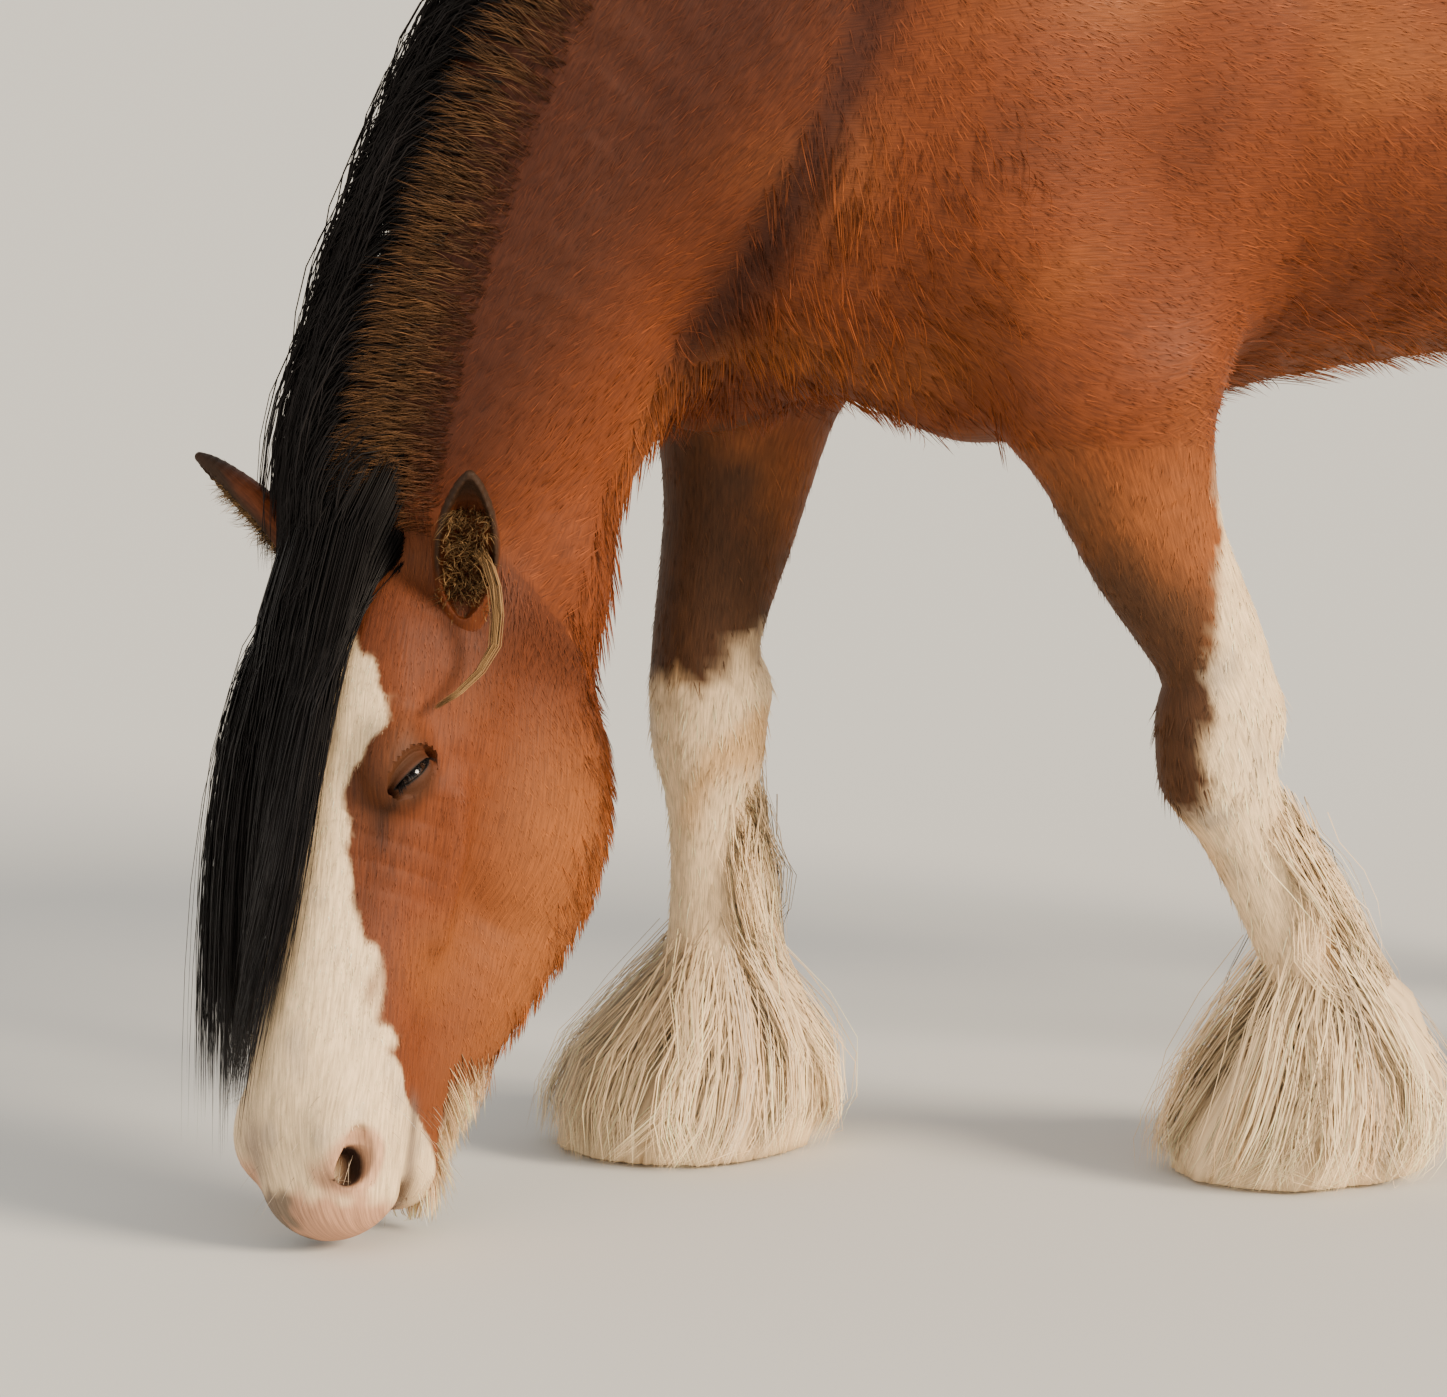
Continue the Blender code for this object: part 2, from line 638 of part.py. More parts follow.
def box_object(name, low, high):
    corners = [(x, y, z) for x in (low[0], high[0]) for y in (low[1], high[1]) for z in (low[2], high[2])]
    faces = ((0, 1, 3, 2), (4, 6, 7, 5), (0, 4, 5, 1), (2, 3, 7, 6), (0, 2, 6, 4), (1, 5, 7, 3))
    obj = make_object(name, corners, faces)
    fix_normals(obj.data)
    return obj


def slab_object(name, point, normal, reach, depth):
    """A block whose face lies on a plane, on the side that the normal points to."""
    normal = unit(normal)
    across = unit(np.cross(normal, (0.3, 0.9, 0.2)))
    other = np.cross(normal, across)
    corners = [np.asarray(point) + normal * d + across * reach * a + other * reach * b
               for d in (0.0, depth) for a in (-1, 1) for b in (-1, 1)]
    faces = ((0, 1, 3, 2), (4, 6, 7, 5), (0, 4, 5, 1), (2, 3, 7, 6), (0, 2, 6, 4), (1, 5, 7, 3))
    obj = make_object(name, corners, faces)
    fix_normals(obj.data)
    return obj


def fix_normals(mesh):
    work = bmesh.new()
    work.from_mesh(mesh)
    bmesh.ops.recalc_face_normals(work, faces=work.faces[:])
    work.to_mesh(mesh)
    work.free()


def boolean(obj, others, operation, solver):
    """One Boolean with a collection of closed meshes, which are then removed."""
    group = bpy.data.collections.new("operands")
    bpy.context.scene.collection.children.link(group)
    for other in others:
        bpy.context.scene.collection.objects.unlink(other)
        group.objects.link(other)
    modifier = obj.modifiers.new("Join", "BOOLEAN")
    modifier.operation = operation
    modifier.solver = solver
    modifier.operand_type = "COLLECTION"
    modifier.collection = group
    apply_modifiers(obj)
    for other in others:
        mesh = other.data
        bpy.data.objects.remove(other)
        bpy.data.meshes.remove(mesh)
    bpy.data.collections.remove(group)
    weld(obj.data)
    keep_largest(obj.data)


def weld(mesh):
    work = bmesh.new()
    work.from_mesh(mesh)
    bmesh.ops.remove_doubles(work, verts=work.verts[:], dist=4e-7)
    bmesh.ops.dissolve_degenerate(work, edges=work.edges[:], dist=4e-7)
    work.to_mesh(mesh)
    work.free()


class Lock:
    """A flat tapered lock of hair, three-sided with its ridge outward, that ends in a point."""

    def __init__(self, path, width, thickness, face):
        self.path = smooth_rows(np.asarray(path, float), 4)
        self.width = width
        self.thickness = thickness
        self.face = np.asarray(face, float)

    def build(self, name):
        lengths = np.concatenate(((0.0,), np.cumsum(np.linalg.norm(np.diff(self.path, axis=0), axis=1))))
        rings = len(LOCK_PROFILE)
        shares = np.array([share for share, _ in LOCK_PROFILE] + [1.0])
        rows = np.stack([np.interp(shares * lengths[-1], lengths, self.path[:, i]) for i in range(3)], 1)
        points = []
        for i in range(rings):
            along = unit(rows[i + 1] - rows[max(i - 1, 0)])
            out = unit(self.face - along * self.face.dot(along))
            side = np.cross(along, out)
            half_width = 0.5 * self.width * LOCK_PROFILE[i][1]
            half_thick = 0.5 * self.thickness * LOCK_PROFILE[i][1]
            points += [rows[i] + side * half_width - out * half_thick, rows[i] + out * half_thick,
                       rows[i] - side * half_width - out * half_thick]
        points.append(rows[-1])
        faces = [(0, 1, 2)]
        for ring in range(rings - 1):
            a = 3 * ring
            for k in range(3):
                n = (k + 1) % 3
                faces.append((a + k, a + n, a + 3 + k))
                faces.append((a + n, a + 3 + n, a + 3 + k))
        last = 3 * (rings - 1)
        faces += [(last + k, last + (k + 1) % 3, len(points) - 1) for k in range(3)]
        obj = make_object(name, points, faces)
        fix_normals(obj.data)
        return obj


# Share of a lock's length and its width there, as a share of the greatest width
LOCK_PROFILE = ((0.0, 0.65), (0.30, 1.0), (0.60, 0.95), (0.82, 0.62))


def drape(flesh, path, clear, lift, first=1):
    """Move a lock's points out of the flesh: the tip clears it more than the root, as a shingle does."""
    path = np.array(path, float)
    wanted = clear + lift * np.linspace(0.0, 1.0, len(path))[first:]
    for _ in range(3):
        points = path[first:]
        lack = np.clip(wanted - flesh.value(points), 0.0, 0.08)
        if lack.max() <= 0.0:
            break
        path[first:] = points + flesh.slope(points) * lack[:, None]
    path[:, 2] = np.maximum(path[:, 2], FLOOR_CLEARANCE)
    return path


def feather_locks(flesh, foot, top, seed):
    """Long hair from behind the cannon, and a skirt of locks over the hoof."""
    draw = random.Random(seed)
    locks = []
    ankle = fetlock(foot)
    middle = np.array((foot[0] - 0.012, foot[1], 0.0))
    # Rows of locks down the back and the sides of the cannon, each row over the next
    for row, share in enumerate((0.10, 0.45, 0.78)):
        for angle in (154, 206) if row % 2 else (180,):
            turn = math.radians(angle + draw.uniform(-8, 8))
            out = np.array((math.cos(turn), math.sin(turn), 0.0))
            root = top * (1 - share) + ankle * share
            fall = draw.uniform(0.14, 0.17)
            path = [root + out * 0.040, root + out * 0.068 + (0, 0, -0.3 * fall),
                    root + out * 0.090 + (0, 0, -0.65 * fall), root + out * 0.110 + (0, 0, -fall)]
            path = drape(flesh, path, 0.004, 0.030, 1)
            locks.append(Lock(path, 0.066, 0.018, out))
    # Skirt in two layers round the pastern, the upper one outside
    for height, number, reach, first in ((0.195, 7, 0.166, 0.5), (0.135, 7, 0.140, 0.0)):
        for k in range(number):
            turn = 2 * math.pi * (k + first) / number + draw.uniform(-0.08, 0.08)
            out = np.array((math.cos(turn), math.sin(turn), 0.0))
            along = np.array((-out[1], out[0], 0.0))
            behind = max(0.0, -math.cos(turn))
            share = height / FETLOCK_HEIGHT
            axis = ankle * share + middle * (1 - share)
            axis[2] = height
            tip_out = reach + 0.045 * behind + draw.uniform(-0.008, 0.008)
            bend = along * draw.uniform(-0.022, 0.022)
            start = axis + out * 0.040
            brow = middle + out * (0.70 * tip_out + 0.014) + (0, 0, 0.70 * height)
            low = middle + out * (tip_out + 0.004) + 0.4 * bend + (0, 0, 0.36 * height)
            tip = middle + out * tip_out + bend + (-0.030 * behind, 0, draw.uniform(0.014, 0.026))
            path = [start, axis + out * 0.085, brow, low, tip]
            locks.append(Lock(path, 0.092, 0.017, out))
    return locks


def mane_locks(flesh):
    """Locks from the crest that fall over the right side of the neck."""
    draw = random.Random(11)
    rows = smooth_rows(np.array([tuple(c) + (deep, wide) for c, deep, wide in NECK]), 8)
    right = np.array((0.0, -1.0, 0.0))
    locks = []
    for layer, number in ((0, 9), (1, 8)):
        for k in range(number):
            spot = int((0.16 + 0.72 * (k + 0.5 * layer) / number) * (len(rows) - 2))
            row = rows[spot]
            along = unit(rows[spot + 1][:3] - row[:3])
            crest = np.array((-along[2], 0.0, along[0]))
            top = row[:3] + crest * row[3]
            length = draw.uniform(0.24, 0.32)
            spread = 0.035 + 0.075 * layer + draw.uniform(-0.008, 0.008)
            path = [top - crest * 0.030 + right * 0.015 * layer]
            for part in (0.18, 0.45, 0.72, 1.0):
                wave = draw.uniform(-0.010, 0.010)
                path.append(top + crest * (0.016 - 0.03 * layer * part) + right * (spread * min(1.0, part / 0.4) + wave)
                            + along * (0.05 * part) + (0, 0, -length * part))
            path = drape(flesh, path, 0.004, 0.050 if layer == 0 else 0.030)
            locks.append(Lock(path, 0.086, 0.020, crest + right * (0.3 + 1.2 * layer)))
    return locks


def forelock_locks(flesh):
    """Locks from between the ears that fall over the forehead and hang beside the nose."""
    draw = random.Random(23)
    locks = []
    number = 11
    for k in range(number):
        share = k / (number - 1)
        left = 0.050 - 0.120 * share
        length = draw.uniform(0.36, 0.44) + 0.17 * share
        out = 0.090 + 0.016 * (k % 3)
        start = on_head(0.030, 0.000, 0.6 * left)
        path = [start, on_head(0.055, out * 0.85, left * 0.9)]
        for part in (0.35, 0.65, 1.0):
            drop = on_head(0.06, out + 0.012, left - (0.035 + 0.045 * share) * part)
            path.append(drop + (0.035 * share * part, draw.uniform(-0.010, 0.010), -length * part))
        path = drape(flesh, path, 0.006, 0.012 * (k % 3))
        locks.append(Lock(path, 0.050, 0.016, HEAD_FACE))
    return locks


def beard_locks(flesh):
    """Tuft of white hair under the chin."""
    draw = random.Random(31)
    locks = []
    for k in range(5):
        left = -0.032 + 0.016 * k
        start = on_head(0.570 + 0.030 * (k % 2), -0.105, left)
        tip = on_head(0.690, -0.160 - 0.014 * (k % 2), left * 1.4) + (0, draw.uniform(-0.006, 0.006), 0)
        path = [start, on_head(0.615 + 0.02 * (k % 2), -0.140, left * 1.1), tip]
        path = drape(flesh, path, 0.004, 0.0)
        locks.append(Lock(path, 0.024, 0.012, -HEAD_FACE))
    return locks


def tail_locks():
    """Long hair that hangs from the tail bone, the upper ring outside the lower one."""
    draw = random.Random(47)
    locks = []
    for height, number, reach, low in ((1.36, 5, 0.094, 0.56), (1.14, 4, 0.060, 0.42)):
        for k in range(number):
            turn = 2 * math.pi * (k + 0.5 * (number % 2)) / number
            out = np.array((math.cos(turn), math.sin(turn), 0.0))
            root = np.array((-1.466, 0.0, height))
            bottom = low + draw.uniform(-0.03, 0.10)
            path = [root + out * 0.010]
            for part, wide in ((0.14, 0.75), (0.45, 1.0), (0.75, 0.85), (1.0, 0.45)):
                place_on = root + out * reach * wide + (-0.022 * part, 0, 0)
                place_on[2] = height + (bottom - height) * part
                path.append(place_on)
            locks.append(Lock(path, 0.100, 0.026, out))
    return locks


def join_locks(obj, locks):
    pieces = [lock.build("lock") for lock in locks]
    boolean(obj, pieces, "UNION", "MANIFOLD")


def make_ear(name, head):
    """A cupped leaf with a thin rim, cut clear of the bare head that it stands on."""
    root, axis, opening = ear_frame(name)
    across = np.cross(axis, opening)
    flesh = Flesh()
    flesh.add(Sweep([(root + axis * EAR_LENGTH * t - opening * back, deep, wide)
                     for t, back, deep, wide in EAR_OUTSIDE], side=across, steps=3), 0.004)
    flesh.carve(Sweep([(root + axis * EAR_LENGTH * t - opening * back, deep, wide)
                       for t, back, deep, wide in EAR_HOLLOW], side=across, steps=3), 0.004)
    ends = np.array((root - axis * 0.06, root + axis * (EAR_LENGTH + 0.01)))
    ear = region("ear_" + name, flesh, ends.min(axis=0) - 0.045, ends.max(axis=0) + 0.045,
                 FINENESS["ear"], TRIANGLES["ear"])
    boolean(ear, [grown_copy(head, CURVED_GAP)], "DIFFERENCE", "MANIFOLD")
    return ear


# Share of the ear's length, place behind its middle line, half depth and half width
EAR_OUTSIDE = (
    (-0.26, 0.004, 0.024, 0.026),
    (-0.10, 0.003, 0.024, 0.026),
    (0.10, 0.004, 0.027, 0.029),
    (0.30, 0.006, 0.029, 0.036),
    (0.50, 0.004, 0.026, 0.037),
    (0.70, 0.001, 0.021, 0.030),
    (0.87, -0.002, 0.014, 0.018),
    (0.97, -0.004, 0.006, 0.007),
)
EAR_HOLLOW = (
    (0.10, -0.012, 0.012, 0.010),
    (0.25, -0.012, 0.026, 0.024),
    (0.45, -0.014, 0.029, 0.030),
    (0.65, -0.014, 0.026, 0.025),
    (0.82, -0.013, 0.018, 0.015),
    (0.92, -0.012, 0.008, 0.006),
)


def ear_frame(name):
    """Root, direction and opening of an ear; the left one faces out, the right one forward."""
    root = np.array(EAR_ROOT[name])
    axis = unit(np.array(EAR_TIP[name]) - root)
    opening = np.array(EAR_OPENING[name])
    opening = unit(opening - axis * axis.dot(opening))
    return root, axis, opening


# Where each ear grows, where it points and which way it opens
EAR_ROOT = {"left": (0.674, 0.066, 0.672), "right": (0.790, -0.108, 0.700)}
EAR_TIP = {"left": (0.694, 0.148, 0.862), "right": (0.910, -0.188, 0.855)}
EAR_OPENING = {"left": (0.33, 0.92, 0.10), "right": (0.80, -0.25, 0.0)}


def make_hoof(name, foot):
    """Horn wall with a flat sole, sloped forward at the toe."""
    sides = 20
    rings = ((0.0, 1.0, 0.0), (0.5, 0.89, -0.006), (1.0, 0.78, -0.012))
    points = []
    for share, scale, back in rings:
        for k in range(sides):
            turn = 2 * math.pi * k / sides
            points.append((foot[0] + back + HOOF_HALF_LENGTH * scale * math.cos(turn),
                           foot[1] + HOOF_HALF_WIDTH * scale * math.sin(turn), share * (HOOF_HEIGHT - GAP)))
    faces = [tuple(range(sides)), tuple(range(2 * sides, 3 * sides))]
    for ring in range(2):
        a = ring * sides
        for k in range(sides):
            n = (k + 1) % sides
            faces.append((a + k, a + n, a + sides + n, a + sides + k))
    obj = make_object(name, points, faces)
    fix_normals(obj.data)
    return obj


def ball(name, radius, centre):
    mesh = bpy.data.meshes.new(name)
    work = bmesh.new()
    bmesh.ops.create_uvsphere(work, u_segments=12, v_segments=8, radius=radius)
    work.to_mesh(mesh)
    work.free()
    mesh.transform(Matrix.Translation(place(centre)))
    obj = bpy.data.objects.new(name, mesh)
    bpy.context.scene.collection.objects.link(obj)
    return obj


def grown_copy(obj, distance):
    """A copy whose surface lies further out by a distance, used to cut a neighbour clear."""
    copy = bpy.data.objects.new("grown", obj.data.copy())
    bpy.context.scene.collection.objects.link(copy)
    for vert, normal in zip(copy.data.vertices, [v.normal.copy() for v in copy.data.vertices]):
        vert.co += normal * distance
    return copy


# The cut behind the ears, from the poll to the throat
HEAD_CUT = on_head(-0.004, 0.0, 0.0)
HEAD_CUT_NORMAL = unit(-HEAD_DOWN * 0.84 - HEAD_FACE * 0.54)
# The cut between the neck and the shoulders
NECK_CUT = np.array((0.300, 0.0, 1.32))
NECK_CUT_NORMAL = unit((0.93, 0.0, 0.37))
TAIL_CUT = np.array((-1.375, 0.0, 1.46))
TAIL_CUT_NORMAL = unit((-1.0, 0.0, -0.15))


def make_head(flesh):
    low = np.array((0.36, -0.32, -0.02))
    high = np.array((1.02, 0.40, 0.93))
    head = region("head", flesh, low, high, FINENESS["head"], TRIANGLES["head"])
    slice_off(head, HEAD_CUT + HEAD_CUT_NORMAL * GAP / 2, HEAD_CUT_NORMAL)
    sockets = [ball("socket", EYE_RADIUS + GAP, eye_centre(name)) for name in SIDE]
    boolean(head, sockets, "DIFFERENCE", "MANIFOLD")
    return head


def make_neck(flesh):
    neck = region("neck", flesh, (0.12, -0.26, 0.55), (0.90, 0.26, 1.66), FINENESS["neck"], TRIANGLES["neck"])
    slice_off(neck, HEAD_CUT - HEAD_CUT_NORMAL * GAP / 2, -HEAD_CUT_NORMAL)
    slice_off(neck, NECK_CUT + NECK_CUT_NORMAL * GAP / 2, -NECK_CUT_NORMAL)
    join_locks(neck, mane_locks(flesh))
    return neck


def make_torso(flesh):
    torso = region("torso", flesh, (-1.50, -0.48, 0.74), (0.56, 0.48, 1.76), FINENESS["torso"], TRIANGLES["torso"])
    cutters = [slab_object("cut", NECK_CUT - NECK_CUT_NORMAL * GAP / 2, NECK_CUT_NORMAL, 0.95, 0.6),
               slab_object("cut", TAIL_CUT - TAIL_CUT_NORMAL * GAP / 2, TAIL_CUT_NORMAL, 0.16, 0.3)]
    for name, sign in SIDE.items():
        for joint, joint_below, level, reach in ((ELBOW[name], KNEE[name], FORE_CUT, 0.20),
                                                 (STIFLE[name], HOCK[name], THIGH_CUT, 0.25)):
            inner, outer = sorted((sign * 0.02, sign * 0.46))
            cutters.append(box_object("cut", (min(joint[0], joint_below[0]) - reach, inner, 0.5),
                                      (joint[0] + reach, outer, level + GAP / 2)))
    boolean(torso, cutters, "DIFFERENCE", "MANIFOLD")
    return torso


def make_leg(flesh, front, name):
    """Upper and lower piece of one leg; the lower one carries the feather."""
    sign = SIDE[name]
    foot = (FOREFOOT if front else HINDFOOT)[name]
    upper_joint = (ELBOW if front else STIFLE)[name]
    lower_joint = (KNEE if front else HOCK)[name]
    level = FORE_CUT if front else THIGH_CUT
    division = KNEE_CUT if front else HOCK_CUT
    kind = ("foreleg_" if front else "hindleg_") + name
    inner, outer = sorted((sign * 0.045, sign * 0.40))
    low_f = min(upper_joint[0], lower_joint[0], foot[0]) - 0.30
    high_f = max(upper_joint[0], lower_joint[0], foot[0]) + 0.28
    upper = region(kind + "_upper", flesh, (low_f, inner, division - 0.03), (high_f, outer, level + 0.05),
                   FINENESS["leg"], TRIANGLES["leg_upper"])
    slice_off(upper, (0, 0, level - GAP / 2), (0, 0, 1))
    slice_off(upper, (0, 0, division + GAP / 2), (0, 0, -1))
    lower = region(kind + "_lower", flesh, (low_f, inner, HOOF_HEIGHT - 0.03), (high_f, outer, division + 0.03),
                   FINENESS["leg"], TRIANGLES["leg_lower"])
    slice_off(lower, (0, 0, division - GAP / 2), (0, 0, 1))
    slice_off(lower, (0, 0, HOOF_HEIGHT), (0, 0, -1))
    top = np.array(lower_joint) - (0.0, 0.0, 0.09)
    seed = 100 + 10 * front + (1 if name == "left" else 2)
    join_locks(lower, feather_locks(flesh, foot, top, seed))
    hoof = make_hoof(kind.replace("leg", "hoof"), foot)
    return upper, lower, hoof


def make_tail(neighbours):
    flesh = Flesh()
    flesh.add(Sweep(TAIL_BONE), 0.02)
    tail = region("tail", flesh, (-1.64, -0.16, 0.36), (-1.28, 0.16, 1.60), FINENESS["tail"], TRIANGLES["tail"])
    slice_off(tail, TAIL_CUT + TAIL_CUT_NORMAL * GAP / 2, -TAIL_CUT_NORMAL)
    join_locks(tail, tail_locks())
    boolean(tail, [grown_copy(other, CURVED_GAP) for other in neighbours], "DIFFERENCE", "MANIFOLD")
    return tail


def finish(obj, colour, roughness=0.6):
    """Give a part its own material and a smooth surface."""
    material = bpy.data.materials.new(obj.name)
    material.use_nodes = True
    shader = material.node_tree.nodes["Principled BSDF"]
    shader.inputs["Base Color"].default_value = COLOURS[colour]
    shader.inputs["Roughness"].default_value = roughness
    obj.data.materials.clear()
    obj.data.materials.append(material)
    obj.data.shade_smooth()


def centre_on_floor(objects):
    """Put the origin under the middle of the whole horse."""
    corners = np.array([v.co[:] for o in objects for v in o.data.vertices])
    low, high = corners.min(axis=0), corners.max(axis=0)
    shift = Vector((-(low[0] + high[0]) / 2, -(low[1] + high[1]) / 2, 0.0))
    for obj in objects:
        obj.data.transform(Matrix.Translation(shift))


def main():
    for obj in list(bpy.data.objects):
        bpy.data.objects.remove(obj)
    flesh = build_flesh()
    parts = []
    torso = make_torso(flesh)
    finish(torso, "bay")
    parts.append(torso)
    head = make_head(flesh)
    ears = []
    for name in SIDE:
        eye = ball("eye_" + name, EYE_RADIUS, eye_centre(name))
        finish(eye, "eye", 0.1)
        parts.append(eye)
        ear = make_ear(name, head)
        finish(ear, "bay")
        ears.append(ear)
    join_locks(head, forelock_locks(flesh) + beard_locks(flesh))
    boolean(head, [grown_copy(ear, GAP) for ear in ears], "DIFFERENCE", "MANIFOLD")
    neck = make_neck(flesh)
    boolean(neck, [grown_copy(other, CURVED_GAP) for other in [head] + ears], "DIFFERENCE", "MANIFOLD")
    finish(neck, "bay")
    parts += [neck] + ears
    finish(head, "bay")
    parts.append(head)
    thighs = []
    for front in (True, False):
        for name in SIDE:
            upper, lower, hoof = make_leg(flesh, front, name)
            finish(upper, "bay")
            thighs += [] if front else [upper]
            finish(lower, "white")
            finish(hoof, "horn")
            parts += [upper, lower, hoof]
    tail = make_tail([torso] + thighs)
    finish(tail, "black")
    parts.append(tail)
    centre_on_floor(parts)


main()
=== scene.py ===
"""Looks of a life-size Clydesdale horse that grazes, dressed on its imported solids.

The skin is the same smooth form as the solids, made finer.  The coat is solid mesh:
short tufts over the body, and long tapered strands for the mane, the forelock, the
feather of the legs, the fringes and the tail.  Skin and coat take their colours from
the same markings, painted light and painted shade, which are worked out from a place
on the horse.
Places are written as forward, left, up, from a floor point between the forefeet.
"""

import math

import bpy
import numpy as np
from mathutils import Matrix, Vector


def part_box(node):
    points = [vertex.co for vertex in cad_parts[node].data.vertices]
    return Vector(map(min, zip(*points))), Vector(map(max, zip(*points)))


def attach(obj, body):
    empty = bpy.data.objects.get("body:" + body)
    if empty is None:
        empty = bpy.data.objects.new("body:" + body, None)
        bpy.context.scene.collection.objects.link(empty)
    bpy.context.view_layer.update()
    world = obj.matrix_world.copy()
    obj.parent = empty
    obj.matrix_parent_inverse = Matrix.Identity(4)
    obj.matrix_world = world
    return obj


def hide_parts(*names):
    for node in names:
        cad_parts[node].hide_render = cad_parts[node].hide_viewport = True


bl_info = {
    "name": "Grazing Clydesdale",
    "version": (1, 0, 0),
    "blender": (4, 5, 0),
    "location": "View3D > Sidebar > Clydesdale",
    "description": "Skin, coat, eyes and hooves of a grazing Clydesdale horse",
    "category": "Object",
}

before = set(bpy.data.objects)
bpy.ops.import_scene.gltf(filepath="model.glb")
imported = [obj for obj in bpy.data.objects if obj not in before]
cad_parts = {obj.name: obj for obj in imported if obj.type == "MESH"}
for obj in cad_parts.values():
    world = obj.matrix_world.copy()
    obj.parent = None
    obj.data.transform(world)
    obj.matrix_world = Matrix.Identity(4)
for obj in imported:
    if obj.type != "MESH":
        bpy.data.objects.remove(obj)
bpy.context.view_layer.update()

# Driving dimensions, in metres, the same as in the solids
WITHERS_TOP = 1.69
HEAD_BREADTH = 1.12           # breadth and depth of the head, against the plain sizes below
HEAD_PLAIN_LENGTH = 0.75      # head length for which the sizes below are written
EYE_RADIUS = 0.024
EAR_LENGTH = 0.188
HOOF_HEIGHT = 0.095
HOOF_HALF_LENGTH = 0.105
HOOF_HALF_WIDTH = 0.098
SIDE = {"left": 1.0, "right": -1.0}
UPWARD = np.array((0.0, 0.0, 1.0))

POLL = np.array((0.724, -0.038, 0.756))
MUZZLE = np.array((0.866, 0.145, 0.020))
HEAD_YAW = 23.0               # degrees that the face is turned to the horse's left

# Where each ear grows, where it points and which way it opens
EAR_ROOT = {"left": (0.674, 0.066, 0.672), "right": (0.790, -0.108, 0.700)}
EAR_TIP = {"left": (0.694, 0.148, 0.862), "right": (0.910, -0.188, 0.855)}
EAR_OPENING = {"left": (0.33, 0.92, 0.10), "right": (0.80, -0.25, 0.0)}

# Outline of the lids and of the slit between them: half length, height above and depth below
LID_HALF_LENGTH, LID_UPPER, LID_LOWER = 0.042, 0.031, 0.024
SLIT_HALF_LENGTH, SLIT_UPPER, SLIT_LOWER = 0.026, 0.0040, 0.0050
LID_BALL = 0.0325             # radius of the ball that the lids lie on

# Steps of the lock that hangs from the left ear
EAR_LOCK_SIDE = 0.012
EAR_LOCK = ((0.0, 0.0, 0.0), (-0.010, 0.012, -0.020), (-0.004, 0.008, -0.040), (0.006, 0.004, -0.045),
            (0.032, 0.004, -0.035), (0.038, 0.004, -0.022))

# The photograph's camera: degrees, metres and pixels
PHOTO_WIDTH = 1447
CAMERA_FOCAL = 6200.0
CAMERA_YAW = 22.0
CAMERA_PITCH = 8.99
CAMERA_DISTANCE = 7.0
CAMERA_ASIDE = 0.317
CAMERA_HEIGHT = 1.64

# Lights: place that each shines from, degrees of softness, strength and colour
LIGHTS = (
    ("key", (3.0, -4.4, 3.4), 22.0, 6.6, (1.0, 0.84, 0.64)),
    ("front", (-5.0, -3.0, 2.6), 60.0, 1.1, (1.0, 0.90, 0.76)),
)
LIT_PLACE = (-0.4, 0.0, 0.8)
SKY_COLOUR = (1.0, 0.96, 0.90, 1.0)
FLOOR_HALF_SIZE = 60.0
SENSOR_WIDTH = 36.0

# Fineness of the skin, in metres
BODY_STEP = 0.0141
HEAD_STEP = 0.0054
EAR_STEP = 0.0028

# Numbers of strands, and their widths at the root in metres
MANE_STRANDS, MANE_WIDTH = 3800, 0.0024
RUFF_STRANDS, RUFF_WIDTH = 5600, 0.0012
FORELOCK_STRANDS, FORELOCK_WIDTH = 2500, 0.0022
TAIL_STRANDS, TAIL_WIDTH = 2600, 0.0032
EAR_STRANDS, EAR_WIDTH = 900, 0.0010
EAR_LOCK_STRANDS, EAR_LOCK_WIDTH = 130, 0.0011
LASHES, LASH_WIDTH = 150, 0.0007
WHISKERS, WHISKER_WIDTH = 130, 0.0006
TUFT_WIDTH = 0.0023
FEATHER_WIDTH = 0.0015

# Fringes: piece, strands, shortest and longest hair, lift off the skin, width, and slot of the looks
FRINGES = (("jaw_fringe", 2200, 0.018, 0.036, 0.35, 0.0013, "bay_coat"),
           ("beard", 1300, 0.025, 0.060, 0.45, 0.0014, "white_hair"),
           ("belly_fringe", 3600, 0.030, 0.055, 0.30, 0.0017, "bay_coat"),
           ("breast_fringe", 2000, 0.030, 0.060, 0.30, 0.0017, "bay_coat"))

# Feather: locks from the pastern and from the cannon, strands to a lock on fore and hind legs
LOW_LOCKS, HIGH_LOCKS = 104, 54
FORE_STRANDS, HIND_STRANDS, QUICK_STRANDS = 36, 18, 9
HIGH_ROOT = 0.26              # locks that grow above this height lie along the cannon
FEATHER_LOWEST = 0.004        # height of the lowest tips over the floor

# How a lock of the feather falls: share of its length, share of its reach, and sideways swing
FEATHER_FALL = ((0.0, 0.0, 0.0), (0.25, 0.62, 0.2), (0.5, 0.90, 0.7), (0.75, 1.0, 0.5), (1.0, 0.97, -0.4))
FEATHER_ROOT = 0.036          # from the leg's middle line to the roots

# Feather under the loose strands: height, and how far it reaches in front of the leg and behind it
FEATHER_BODY = ((0.005, 0.130, 0.160), (0.060, 0.134, 0.166), (0.110, 0.116, 0.156), (0.165, 0.076, 0.124),
                (0.215, 0.042, 0.092), (0.260, 0.034, 0.068), (0.330, 0.034, 0.052), (0.400, 0.034, 0.040))
